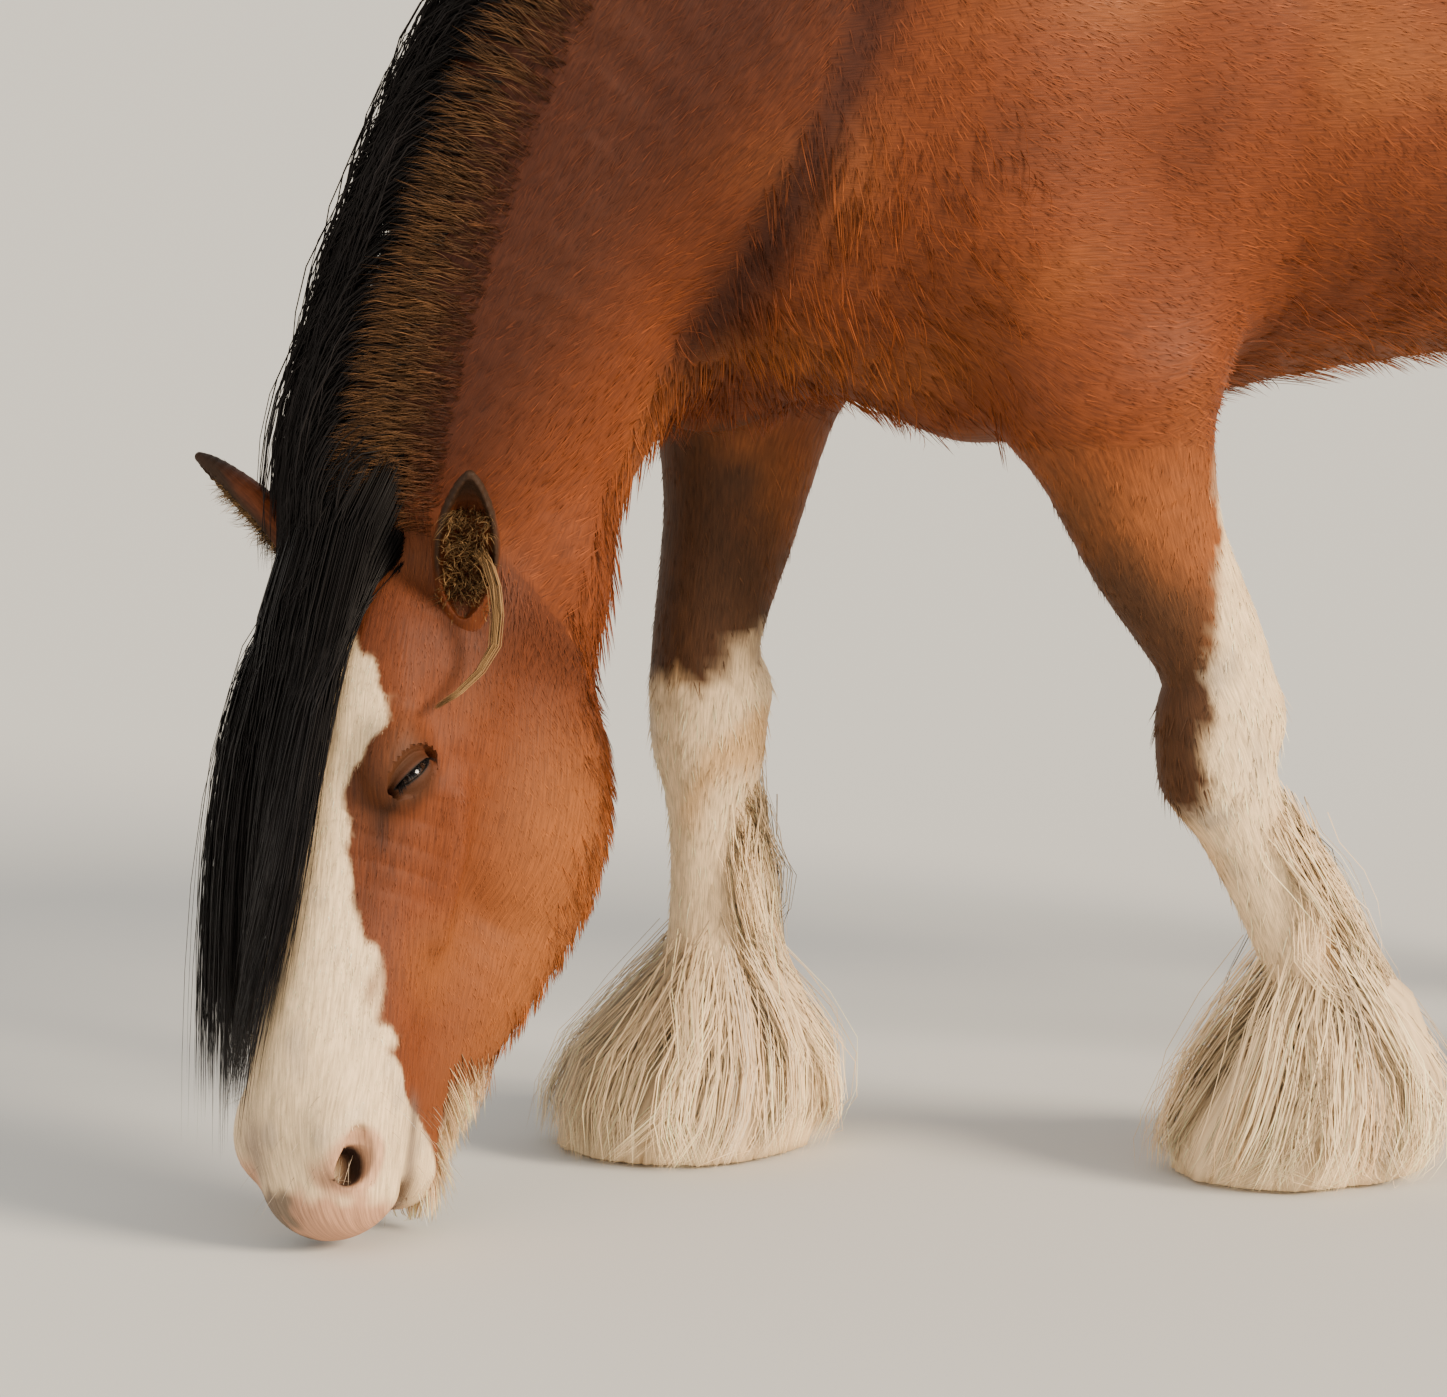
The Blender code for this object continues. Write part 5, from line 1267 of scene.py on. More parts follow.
def build_fur(settings):
    points, quads, normals, part = skin_data()
    draw = np.random.default_rng(5)
    centre = points[quads].mean(axis=1)
    face_part = part[quads[:, 0]]
    number = int(settings.tufts * (1.0))
    material = hair_material("short hair", 0.55, 0.20)
    groups = (("coat_trunk_front", (face_part == TRUNK_PART) & (centre[:, 0] > -0.45), 0.27, 1.0),
              ("coat_trunk_rear", (face_part == TRUNK_PART) & (centre[:, 0] <= -0.45), 0.25, 1.0),
              ("coat_neck", face_part == NECK_PART, 0.14, 1.0),
              ("coat_head", face_part == HEAD_PART, 0.20, 0.6),
              ("coat_legs", (face_part >= LEG_PART) & (face_part < EAR_PART), 0.14, 0.9),
              ("coat_ears", (face_part >= EAR_PART) & ~inside_ears(centre, face_part), 0.016, 0.5))
    for name, chosen, share, width in groups:
        weight = chosen * ~bare_places(centre, face_part)
        count = int(number * share)
        roots, picked = scatter(points, quads, weight, count, draw)
        out = normals[quads[picked, 0]]
        which = face_part[picked]
        length = hair_lengths(roots, which) * draw.uniform(0.6, 1.25, count)
        way = lie_of(roots, out, which)
        across = np.cross(out, way)
        way = way + across * draw.normal(0.0, 0.14, (count, 1)) + out * draw.uniform(0.08, 0.26, (count, 1))
        paths = np.stack((roots - out * 0.0012, roots + way * length[:, None]), axis=1)
        widths = taper(count, 2, TUFT_WIDTH * width) * draw.uniform(0.7, 1.3, (count, 1))
        base = skin_colours(roots, which)
        strand_colours = tints(base, 2, draw, 0.20, 0.78, 1.22)
        obj = strands(name, paths, widths, widths * 0.45, across[:, None, :], strand_colours,
                      root_marks(roots, which), material, out)


def crest_line(share):
    """Top of the neck: place, direction towards the head and direction out of the crest."""
    rows = smooth_rows(np.array([tuple(c) + (deep, wide) for c, deep, wide in NECK]), 8)
    at = share * (len(rows) - 1.001)
    low = np.minimum(at.astype(int), len(rows) - 2)
    part = (at - low)[:, None]
    row = rows[low] * (1 - part) + rows[low + 1] * part
    along = rows[low + 1, :3] - rows[low, :3]
    along /= np.linalg.norm(along, axis=1, keepdims=True)
    crest = np.stack((-along[:, 2], np.zeros(len(at)), along[:, 0]), axis=1)
    return row[:, :3] + crest * row[:, 3:4], along, crest


def long_hair(name, roots, heading, lengths, steps, weight, clearance, width, base, seed,
              locks=0, pull=0.6, spread=0.25, root=0.8, tip=1.15, wave=0.0, part=None, floor=0.012, rise=1):
    """Strands that hang from their roots, drawn together in locks."""
    draw = np.random.default_rng(seed)
    paths = grow(roots, heading, lengths, steps, weight, clearance, floor, rise)
    if locks:
        paths, mine = clumped(paths, locks, pull, draw)
        shade = np.exp(draw.normal(0.0, 0.14, len(paths)))[mine]
        base = base * shade[:, None]
    if wave:
        share = np.linspace(0.0, 1.0, steps + 1)[None, :, None]
        side = unit_rows(np.cross(heading, UPWARD))
        phase = draw.uniform(0, 2 * math.pi, len(paths))
        if locks:
            phase = phase[mine] + draw.normal(0.0, 0.4, len(paths))
        swing = np.sin(share * math.pi * 1.6 + phase[:, None, None]) * share * wave
        paths = paths + side[:, None, :] * swing
        paths[..., 2] = np.maximum(paths[..., 2], floor)
    rings = steps + 1
    widths = taper(len(paths), rings, width) * draw.uniform(0.6, 1.3, (len(paths), 1))
    across = np.cross(heading, UPWARD) + 0.02
    colours = tints(base, rings, draw, spread, root, tip)
    return strands(name, paths, widths, widths * 0.6, across[:, None, :], colours, root_marks(roots, part),
                   long_hair_material())


def long_hair_material():
    if "long_hair" not in WORK:
        WORK["long_hair"] = hair_material("long hair", 0.46, 0.14)
    return WORK["long_hair"]


def amount(settings, number):
    return max(20, int(number * settings.hair_share * (1.0)))


def build_mane(settings):
    draw = np.random.default_rng(17)
    right = np.array((0.0, -1.0, 0.0))
    count = amount(settings, MANE_STRANDS)
    share = draw.uniform(0.08, 1.05, count)
    top, along, crest = crest_line(share)
    aside = draw.uniform(-0.046, 0.014, count)[:, None]
    roots = top + right * aside - crest * (0.004 + 16.0 * aside ** 2)
    roots, _ = settled(flesh_form(), roots, 0.002, 4)
    heading = crest * draw.uniform(0.25, 0.60, (count, 1))
    heading = heading + right * draw.uniform(0.5, 1.0, (count, 1)) + along * 0.15
    lengths = settings.mane_length * draw.uniform(0.81, 1.19, count) * (1.0 - 0.55 * ramp(share, 0.70, 0.95))
    base = plain(palette()[2], count)
    clearance = draw.uniform(0.008, 0.045, count)
    mane = long_hair("mane", roots, heading, lengths, 7, 0.75, clearance, MANE_WIDTH, base, 18,
                     locks=150, pull=0.45, wave=0.010, rise=2)
    # Short brown hair beside the roots of the mane
    count = amount(settings, RUFF_STRANDS)
    share = draw.uniform(0.06, 1.06, count)
    top, along, crest = crest_line(share)
    low = draw.uniform(0.0, 1.0, (count, 1)) ** 1.2
    roots = top - right * (0.038 + 0.030 * low) - crest * (0.024 + 0.062 * low ** 1.3)
    roots, normals = settled(flesh_form(), roots, 0.002, 4)
    heading = normals * 0.20 + crest * 0.90 + right * 0.30 - along * draw.uniform(-0.25, 0.45, (count, 1))
    lengths = draw.uniform(0.026, 0.056, count) * (1.20 - 0.75 * low[:, 0])
    base = mix(CREST_BROWN, palette()[2], draw.uniform(0, 1, count) ** 2.0 * (1 - low[:, 0]))
    base = mix(base, markings_and_shading(roots), ramp(low[:, 0], 0.55, 1.0) * 0.8)
    ruff = long_hair("crest_ruff", roots, heading, lengths, 3, 0.16, 0.004, RUFF_WIDTH, base, 19,
                     locks=700, pull=0.45, spread=0.35, root=0.4, tip=1.5)


def build_forelock(settings):
    draw = np.random.default_rng(23)
    count = amount(settings, FORELOCK_STRANDS)
    left = draw.uniform(-0.090, 0.060, count)
    down = draw.uniform(-0.100, 0.055, count)
    roots = on_head_many(down, 0.03 + 0 * down, left)
    roots, normals = settled(flesh_form(), roots, 0.002, 6)
    heading = HEAD_FACE * 0.45 + HEAD_DOWN * 0.75 + HEAD_LEFT * (-0.46 + 2.0 * left[:, None])
    lengths = settings.forelock_length * draw.uniform(0.74, 1.18, count) + np.clip(-down, 0.0, 0.1) * 0.7
    base = plain(palette()[2], count)
    clearance = 0.016 + 0.060 * ramp(-left + draw.normal(0.0, 0.02, count), 0.0, 0.08)
    obj = long_hair("forelock", roots, heading + normals * 0.2, lengths, 7, 0.80, clearance, FORELOCK_WIDTH,
                    base, 24, locks=80, pull=0.5, wave=0.014)


def on_head_many(down, out, left):
    return (POLL + HEAD_DOWN * (down[:, None] * HEAD_STRETCH)
            + (HEAD_FACE * out[:, None] + HEAD_LEFT * left[:, None]) * HEAD_BREADTH)


def build_ear_hair(settings):
    draw = np.random.default_rng(29)
    for k, name in enumerate(SIDE):
        root, axis, opening = ear_frame(name)
        across = np.cross(axis, opening)
        count = amount(settings, EAR_STRANDS)
        height = draw.uniform(0.03, 0.72, count)[:, None]
        aside = draw.uniform(-1.0, 1.0, count)[:, None]
        roots = root + axis * EAR_LENGTH * height + across * aside * 0.024
        roots = roots + opening * (-0.006 + 0.014 * aside ** 2)
        heading = (axis * draw.normal(0.45, 0.45, (count, 1)) + opening * draw.uniform(0.3, 0.9, (count, 1))
                   + across * draw.normal(0.0, 0.5, (count, 1)))
        lengths = draw.uniform(0.014, 0.036, count)
        base = EAR_GOLD * draw.uniform(0.12, 1.0, (count, 1)) ** 1.3
        obj = long_hair("ear_hair_" + name, roots, heading, lengths, 3, 0.10, -0.9, EAR_WIDTH, base, 30 + k,
                        locks=60, pull=0.5, part=EAR_PART + k)
    # Golden lock that curls down and forward out of the left ear
    root, axis, opening = ear_frame("left")
    across = np.cross(axis, opening)
    start = root + axis * 0.085 + across * EAR_LOCK_SIDE + opening * 0.004
    guide = start + np.cumsum(np.array(EAR_LOCK), axis=0)
    count = amount(settings, EAR_LOCK_STRANDS)
    thin = np.linspace(1.0, 0.45, len(guide))[None, :, None]
    loose = draw.normal(0.0, 0.0026, (count, 1, 3)) + draw.normal(0.0, 0.0014, (count, len(guide), 3))
    paths = smoothed(guide[None] + loose * thin, 7)
    spot = paths.reshape(-1, 3)
    lack = np.clip(0.006 - flesh_form().value(spot), 0.0, 0.03)
    paths = (spot + flesh_form().slope(spot) * lack[:, None]).reshape(paths.shape)
    widths = taper(count, paths.shape[1], EAR_LOCK_WIDTH) * draw.uniform(0.6, 1.3, (count, 1))
    base = EAR_GOLD * draw.uniform(0.3, 0.9, (count, 1))
    obj = strands("ear_lock", paths, widths, widths * 0.6, np.broadcast_to(across, (count, 1, 3)),
                  tints(base, paths.shape[1], draw, 0.2, 0.8, 1.2), root_marks(paths[:, 0], EAR_PART),
                  long_hair_material())


def cannon_axis(height, ankle, knee):
    """Places on the middle line from the fetlock up to the knee or the hock."""
    share = np.clip((height - FETLOCK_HEIGHT) / (knee[2] - FETLOCK_HEIGHT), 0, 1)[:, None]
    return ankle * (1 - share) + knee * share


def leg_axis(height, ankle, hoof, knee):
    """Places on the middle line from the hoof up to the knee or the hock."""
    share = np.clip(height / FETLOCK_HEIGHT, 0, 1)[:, None]
    return np.where(height[:, None] > FETLOCK_HEIGHT, cannon_axis(height, ankle, knee),
                    ankle * share + hoof * (1 - share))


def feather_guides(draw, ankle, hoof, knee):
    """Middle lines of the locks of one leg, and directions across each and for its light."""
    locks = LOW_LOCKS + HIGH_LOCKS
    root_z = np.concatenate((draw.uniform(0.088, 0.235, LOW_LOCKS),
                             draw.uniform(0.20, knee[2] - 0.08, HIGH_LOCKS)))
    turn = draw.uniform(0, 2 * math.pi, locks)
    turn = np.where(root_z > HIGH_ROOT, math.pi + draw.normal(0.0, 0.50, locks), turn)
    out = np.stack((np.cos(turn), np.sin(turn), 0 * turn), axis=1)
    side = np.stack((-out[:, 1], out[:, 0], 0 * turn), axis=1)
    behind = np.clip(-out[:, 0], 0, 1)
    long_lock = draw.uniform(0.12, 0.20, locks)
    length = np.where(root_z > HIGH_ROOT, long_lock, root_z * draw.uniform(0.90, 1.02, locks))
    tip_z = np.maximum(root_z - length, FEATHER_LOWEST)
    reach = 0.082 + 0.070 * np.clip(root_z / 0.22, 0, 1) * np.clip((0.40 - root_z) / 0.2, 0.25, 1)
    reach = reach + 0.035 * behind * np.clip((0.42 - root_z) / 0.3, 0.3, 1)
    reach = reach + draw.uniform(-0.012, 0.014, locks)
    reach = np.where(root_z > HIGH_ROOT, 0.058 + 0.35 * (reach - 0.10), reach)
    axis = leg_axis(root_z, ankle, hoof, knee)
    axis[:, 2] = root_z
    foot_axis = np.where(tip_z[:, None] < 0.10, hoof, cannon_axis(tip_z, ankle, knee))
    soft = unit_rows(out + (0.0, 0.0, 0.35) + side * draw.normal(0.0, 0.30, (locks, 1)))
    swing = draw.normal(0.0, 0.018, locks)[:, None]
    spots = []
    for t, far, bend in FEATHER_FALL:
        wide = reach * far if far else np.full(locks, FEATHER_ROOT)
        spot = axis * (1 - t) + foot_axis * t + out * wide[:, None] + side * swing * bend * 1.6
        spot[:, 2] = root_z * (1 - t) + tip_z * t
        spots.append(spot)
    return np.stack(spots, axis=1), side, soft


def build_feather(settings):
    for n, (foot, joint, _) in enumerate(LEG_LINES):
        draw = np.random.default_rng(40 + n)
        ankle = fetlock(foot)
        hoof = np.array((foot[0] - 0.012, foot[1], 0.0))
        knee = np.array(joint)
        feather_body("feather_body_" + LEG_NAMES[n], ankle, hoof, knee, LEG_PART + n)
        full = FORE_STRANDS if n < 2 else HIND_STRANDS
        each = max(6, int(full * settings.hair_share))
        guides, side, soft = feather_guides(draw, ankle, hoof, knee)
        paths = np.repeat(guides, each, axis=0)
        count = len(paths)
        share = np.array([t for t, _, _ in FEATHER_FALL])[None, :, None]
        round_about = draw.normal(0.0, 0.014, (count, 1, 3)) * (1 - 0.50 * share)
        late = draw.normal(0.0, 0.007, (count, 1, 3)) * share
        paths = smoothed(paths + round_about + late, 4)
        spot = paths.reshape(-1, 3)
        lack = np.clip(0.003 - flesh_form().value(spot), 0.0, 0.03).reshape(paths.shape[:2])
        lack[:, 0] = 0.0
        paths = paths + flesh_form().slope(spot).reshape(paths.shape) * lack[..., None]
        paths[..., 2] = np.maximum(paths[..., 2], FEATHER_LOWEST)
        rings = paths.shape[1]
        widths = taper(count, rings, FEATHER_WIDTH) * draw.uniform(0.6, 1.3, (count, 1))
        tone = np.repeat(draw.random(len(guides)), each)
        base = mix(palette()[1], CREAM_STAIN_AND_SHADE, ramp(tone, 0.70, 0.98) * 0.6)
        base = mix(base, CREAM_GREY, ramp(0.16 - tone, 0.0, 0.12) * 0.5)
        obj = strands("feather_" + LEG_NAMES[n], paths, widths, widths * 0.6,
                      np.repeat(side, each, axis=0)[:, None, :], tints(base, rings, draw, 0.14, 0.92, 1.10),
                      root_marks(paths[:, 0], LEG_PART + n), long_hair_material(),
                      np.repeat(soft, each, axis=0))


def feather_body(name, ankle, hoof, knee, part):
    """Closed bell of matted hair that fills the feather under its loose strands."""
    draw = np.random.default_rng(140 + part)
    rings, sides = 26, 200
    table = np.array(FEATHER_BODY)
    height = np.linspace(table[-1, 0], table[0, 0], rings)
    front = np.interp(height, table[:, 0], table[:, 1])[:, None]
    back = np.interp(height, table[:, 0], table[:, 2])[:, None]
    turn = 2 * math.pi * np.arange(sides) / sides
    behind = np.clip(-np.cos(turn), 0.0, 1.0)[None, :] ** 1.3
    ridge = smooth_noise(sides, 26, draw) * 0.006 + draw.normal(0.0, 0.0012, sides)
    fade = np.clip((table[-2, 0] - height) / 0.2, 0.0, 1.0)[:, None]
    radius = front * (1 - behind) + back * behind + ridge[None, :] * fade
    lower = (1 - height / height[0])[:, None]
    turn = 0.10 * smooth_noise(sides, 7, draw)[None, :] * lower ** 2 + turn[None, :]
    axis = leg_axis(height, ankle, hoof, knee)
    flat = np.stack((axis[:, 0:1] + np.cos(turn) * radius, axis[:, 1:2] + np.sin(turn) * radius,
                     np.repeat(height[:, None], sides, axis=1)), axis=-1).reshape(-1, 3)
    ends = np.array((axis[0], axis[-1]))
    ends[:, 2] = height[0], height[-1]
    # The bell is painted darker than the loose strands, its caps darker still, as painted shade under the
    # strands; its brown streaks are partly stains and partly painted shade in the gaps between locks
    tone = np.tile(0.5 + 0.5 * smooth_noise(sides, 60, draw) + draw.normal(0.0, 0.25, sides), rings)
    cream = palette()[1]
    colours = cream * (0.70 + 0.16 * np.clip(tone, -1.0, 1.5))[:, None]
    colours = mix(colours, CREAM_STAIN_AND_SHADE * 0.8, 0.5 * ramp(-tone, -0.2, 0.6))
    faces = grid_faces(rings, sides)
    last = (rings - 1) * sides
    caps = [(len(flat), (k + 1) % sides, k) for k in range(sides)]
    caps += [(len(flat) + 1, last + k, last + (k + 1) % sides) for k in range(sides)]
    points = np.concatenate((flat, ends))
    colours = np.concatenate((colours, np.repeat(cream[None] * 0.6, 2, axis=0)))
    corners = np.concatenate((faces.ravel(), np.array(caps).ravel()))
    sizes = np.concatenate((np.full(len(faces), 4), np.full(len(caps), 3)))
    obj = new_mesh_object(name, points, corners, sizes, colours, root_marks(points, part)[corners])
    obj.data.materials.append(long_hair_material())


def smooth_noise(count, knots, draw):
    """Values from -1 to 1 round a ring, with about the given number of swings."""
    values = draw.uniform(-1.0, 1.0, knots)
    at = np.arange(count) * knots / count
    low = at.astype(int)
    share = 0.5 - 0.5 * np.cos(math.pi * (at - low))
    return values[low % knots] * (1 - share) + values[(low + 1) % knots] * share


def smoothed(paths, rings):
    """More points along each path on a smooth curve."""
    at = np.linspace(0, paths.shape[1] - 1, rings + 1)
    low = np.minimum(at.astype(int), paths.shape[1] - 2)
    t = (at - low)[None, :, None]
    before = 2 * paths[:, :1] - paths[:, 1:2]
    after = 2 * paths[:, -1:] - paths[:, -2:-1]
    ends = np.concatenate((before, paths, after), axis=1)
    p0, p1, p2, p3 = [ends[:, low + k] for k in range(4)]
    return 0.5 * (2 * p1 + (p2 - p0) * t + (2 * p0 - 5 * p1 + 4 * p2 - p3) * t * t
                  + (3 * p1 - p0 - 3 * p2 + p3) * t ** 3)


def build_tail(settings):
    draw = np.random.default_rng(61)
    count = amount(settings, TAIL_STRANDS)
    rows = smooth_rows(np.array([tuple(c) + (deep, wide) for c, deep, wide in TAIL_BONE]), 6)
    at = draw.uniform(0.10, 1.0, count) ** 0.8 * (len(rows) - 1.01)
    low = at.astype(int)
    centre = rows[low] + (rows[low + 1] - rows[low]) * (at - low)[:, None]
    turn = draw.uniform(0, 2 * math.pi, count)
    out = np.stack((np.cos(turn), np.sin(turn), 0 * turn), axis=1)
    roots = centre[:, :3] + out * centre[:, 3:4] * 0.75
    heading = out * 0.12 + np.array((0.12, 0.0, -1.0))
    lengths = np.clip(centre[:, 2] - draw.uniform(0.42, 0.72, count), 0.25, 0.95)
    base = plain(palette()[2], count)
    obj = long_hair("tail_hair", roots, heading, lengths, 6, 0.16, 0.004, TAIL_WIDTH, base, 62,
                    locks=60, pull=0.55, wave=0.012, part=TAIL_PART)


def build_fringes(settings):
    """Longer hair on the jaw, the chin, the breast and along the belly."""
    points, quads, normals, part = skin_data()
    draw = np.random.default_rng(71)
    centre = points[quads].mean(axis=1)
    out = normals[quads[:, 0]]
    face_part = part[quads[:, 0]]
    down, ahead, _ = head_place(centre)
    head = face_part == HEAD_PART
    jaw = head * ramp(-ahead, 0.13, 0.22) * ramp(-(out @ HEAD_FACE), 0.1, 0.6) * (down < 0.62)
    beard = head * ramp(-ahead, 0.085, 0.11) * ramp(down, 0.53, 0.58) * (down < 0.70)
    trunk = face_part == TRUNK_PART
    belly = trunk * ramp(-out[:, 2], 0.35, 0.8) * (centre[:, 0] < 0.40)
    breast = trunk * ramp(centre[:, 0], 0.05, 0.30) * ramp(1.25 - centre[:, 2], 0.0, 0.15)
    for weight, fringe in zip((jaw, beard, belly, breast), FRINGES):
        name, number, short, long, lift, width, slot = fringe
        count = amount(settings, number)
        roots, picked = scatter(points, quads, weight, count, draw)
        normal = out[picked]
        heading = lie_of(roots, normal) + normal * lift
        lengths = draw.uniform(short, long, count)
        base = markings_and_shading(roots)
        if name == "beard":
            base = mix(base, palette()[1], 0.9 * ramp(down[picked], 0.53, 0.57))
        obj = long_hair(name, roots, heading, lengths, 3, 0.12, -0.9, width, base, 72,
                        locks=count // 14, pull=0.5, root=0.8, tip=1.3)
    build_whiskers(settings)


def build_whiskers(settings):
    """Long thin feelers on the lips and the chin."""
    draw = np.random.default_rng(77)
    count = amount(settings, WHISKERS)
    down = draw.uniform(0.600, 0.715, count)
    left = draw.uniform(-0.07, 0.07, count)
    out = np.where(draw.random(count) < 0.5, -0.10, 0.02) + draw.normal(0.0, 0.02, count)
    roots, normals = settled(flesh_form(), on_head_many(down, out, left), 0.002, 6)
    heading = normals + HEAD_DOWN * 0.6
    base = plain(WHISKER, count)
    lengths = draw.uniform(0.018, 0.050, count)
    obj = long_hair("whiskers", roots, heading, lengths, 4, 0.10, -0.9, WHISKER_WIDTH, base, 78,
                    spread=0.5, part=HEAD_PART)


def eye_axes(sign):
    """Outward from the eye, along its slit towards the nose, and across towards the forehead."""
    outward = unit(HEAD_LEFT * sign * 0.90 + HEAD_FACE * 0.36 - HEAD_DOWN * 0.05)
    slit = HEAD_DOWN * 0.74 + HEAD_FACE * 0.66
    slit = unit(slit - outward * outward.dot(slit))
    brow = np.cross(outward, slit)
    return outward, slit, brow * np.sign(brow.dot(HEAD_FACE - HEAD_DOWN * 0.3))


def almond(turn, half_length, upper, lower):
    """Points of an eye-shaped outline: along the slit and across it."""
    along = np.cos(turn)
    across = np.sin(turn) * np.where(np.sin(turn) > 0, upper, lower) * (1 - 0.30 * along ** 4)
    return along * half_length, across


def in_eye_opening(points, widen=1.0):
    """Whether points lie where the lids take the place of the skin."""
    inside = np.zeros(points.shape[:-1], bool)
    for name, sign in SIDE.items():
        outward, slit, brow = eye_axes(sign)
        local = points - eye_centre(name)
        a, b, h = local @ slit, local @ brow, local @ outward
        limit = np.where(b > 0, LID_UPPER, LID_LOWER) * 0.86 * widen
        oval = (a / (LID_HALF_LENGTH * 0.88 * widen)) ** 2 + (b / limit) ** 2 < 1.0
        inside |= oval & (h > -0.01) & (h < 0.06)
    return inside


def build_eyes():
    """Eyeballs, with a heavy upper lid, a lower lid and lashes."""
    lid = lid_material()
    for name, sign in SIDE.items():
        centre = eye_centre(name)
        outward, slit, brow = eye_axes(sign)
        axes = np.array((outward, slit, brow))
        ball = eyeball("eyeball_" + name, centre, axes)
        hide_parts("eye_" + name)
        lids("eyelids_" + name, centre, axes, sign, lid)
        lashes("eyelashes_" + name, centre, axes)


def lid_ring(centre, axes, share, turn):
    """Points of one ring of the lids, from the skin at share 0 to the slit at share 1."""
    outward, slit, brow = axes
    ease = share ** 0.8
    lid = (LID_HALF_LENGTH, LID_UPPER, LID_LOWER)
    opening = (SLIT_HALF_LENGTH, SLIT_UPPER, SLIT_LOWER)
    size = [a * (1 - ease) + b * ease for a, b in zip(lid, opening)]
    along, across = almond(turn, *size)
    across = across + 0.002 * share * np.cos(turn)
    flat = centre + along[:, None] * slit + across[:, None] * brow
    reach = np.linspace(-0.02, 0.06, 60)
    column = flat[:, None, :] + reach[None, :, None] * outward
    inside = flesh_form().value(column) < -0.0016
    height = np.where(inside, reach[None, :], -1.0).max(axis=1)
    over_ball = np.sqrt(np.maximum(LID_BALL ** 2 - along ** 2 - across ** 2, 1e-6)) - 0.0062
    settle = ramp(share, 0.0, 0.62)
    height = height * (1 - settle) + over_ball * settle
    # Two folds in the upper lid, and its thicker rim
    upper = np.clip(np.sin(turn), 0.0, 1.0)
    height = height - 0.0022 * upper * math.exp(-((share - 0.40) / 0.07) ** 2)
    height = height - 0.0012 * upper * math.exp(-((share - 0.22) / 0.05) ** 2)
    height = height + 0.0016 * upper * math.exp(-((share - 0.85) / 0.2) ** 2)
    return flat + height[:, None] * outward, upper


def lids(name, centre, axes, sign, material):
    """Rings of skin from round the eye down to the slit and in under it."""
    rings, sides = 22, 72
    turn = 2 * math.pi * np.arange(sides) / sides
    rows, tone = [], []
    for i in range(rings):
        share = i / (rings - 1)
        row, upper = lid_ring(centre, axes, share, turn)
        rows.append(row)
        # The upper lid is painted lighter across the middle of its fold: a painted highlight
        grey = mix(LID_GREY, LID_GREY * 1.35, upper * math.sin(math.pi * share) ** 2)
        grey = mix(markings_and_shading(row) * 0.8, grey, np.full(sides, ramp(share, 0.55, 0.95)))
        tone.append(mix(grey, LID_RIM, np.full(sides, ramp(share, 0.86, 0.97))))
    outward = axes[0]
    # The innermost ring, tucked in under the slit, is painted near black: painted shade inside the slit
    inner = rows[-1] + (centre - rows[-1]) * 0.10 - outward * 0.002
    rows.append(inner)
    tone.append(np.full((sides, 3), 0.012))
    faces = grid_faces(len(rows), sides)
    if sign < 0:
        faces = faces[:, ::-1]
    points, colours = np.concatenate(rows), np.concatenate(tone)
    obj = new_mesh_object(name, points, faces.ravel(), np.full(len(faces), 4), colours,
                          ring_marks(points, faces, HEAD_PART))
    obj.data.materials.append(material)


def grid_faces(rings, sides):
    """Quads between rings of points."""
    faces = []
    for i in range(rings - 1):
        for k in range(sides):
            n = (k + 1) % sides
            faces.append((i * sides + k, i * sides + n, (i + 1) * sides + n, (i + 1) * sides + k))
    return np.array(faces)


def ring_marks(points, faces, part):
    """Places on the unwrap for the corners of faces on one part."""
    which = np.full(faces.shape, part)
    turn, along = unwrap(points[faces], which)
    return on_unwrap(turn, along, which).reshape(-1, 2)


def lashes(name, centre, axes):
    """Lashes along the edge of the upper lid."""
    draw = np.random.default_rng(81)
    outward, slit, brow = axes
    turn = draw.uniform(0.12, 0.88, LASHES) * math.pi
    along, across = almond(turn, SLIT_HALF_LENGTH * 0.97, SLIT_UPPER + 0.001, SLIT_LOWER)
    height = np.sqrt(LID_BALL ** 2 - along ** 2 - across ** 2) - 0.0058
    roots = centre + along[:, None] * slit + across[:, None] * brow + height[:, None] * outward
    heading = outward * 0.9 - brow * 0.25 + slit * (0.5 * (along / SLIT_HALF_LENGTH)[:, None])
    lengths = draw.uniform(0.010, 0.019, LASHES)
    obj = long_hair(name, roots, heading, lengths, 3, 0.25, -0.9, LASH_WIDTH, plain(palette()[2], LASHES),
                    82, part=HEAD_PART)


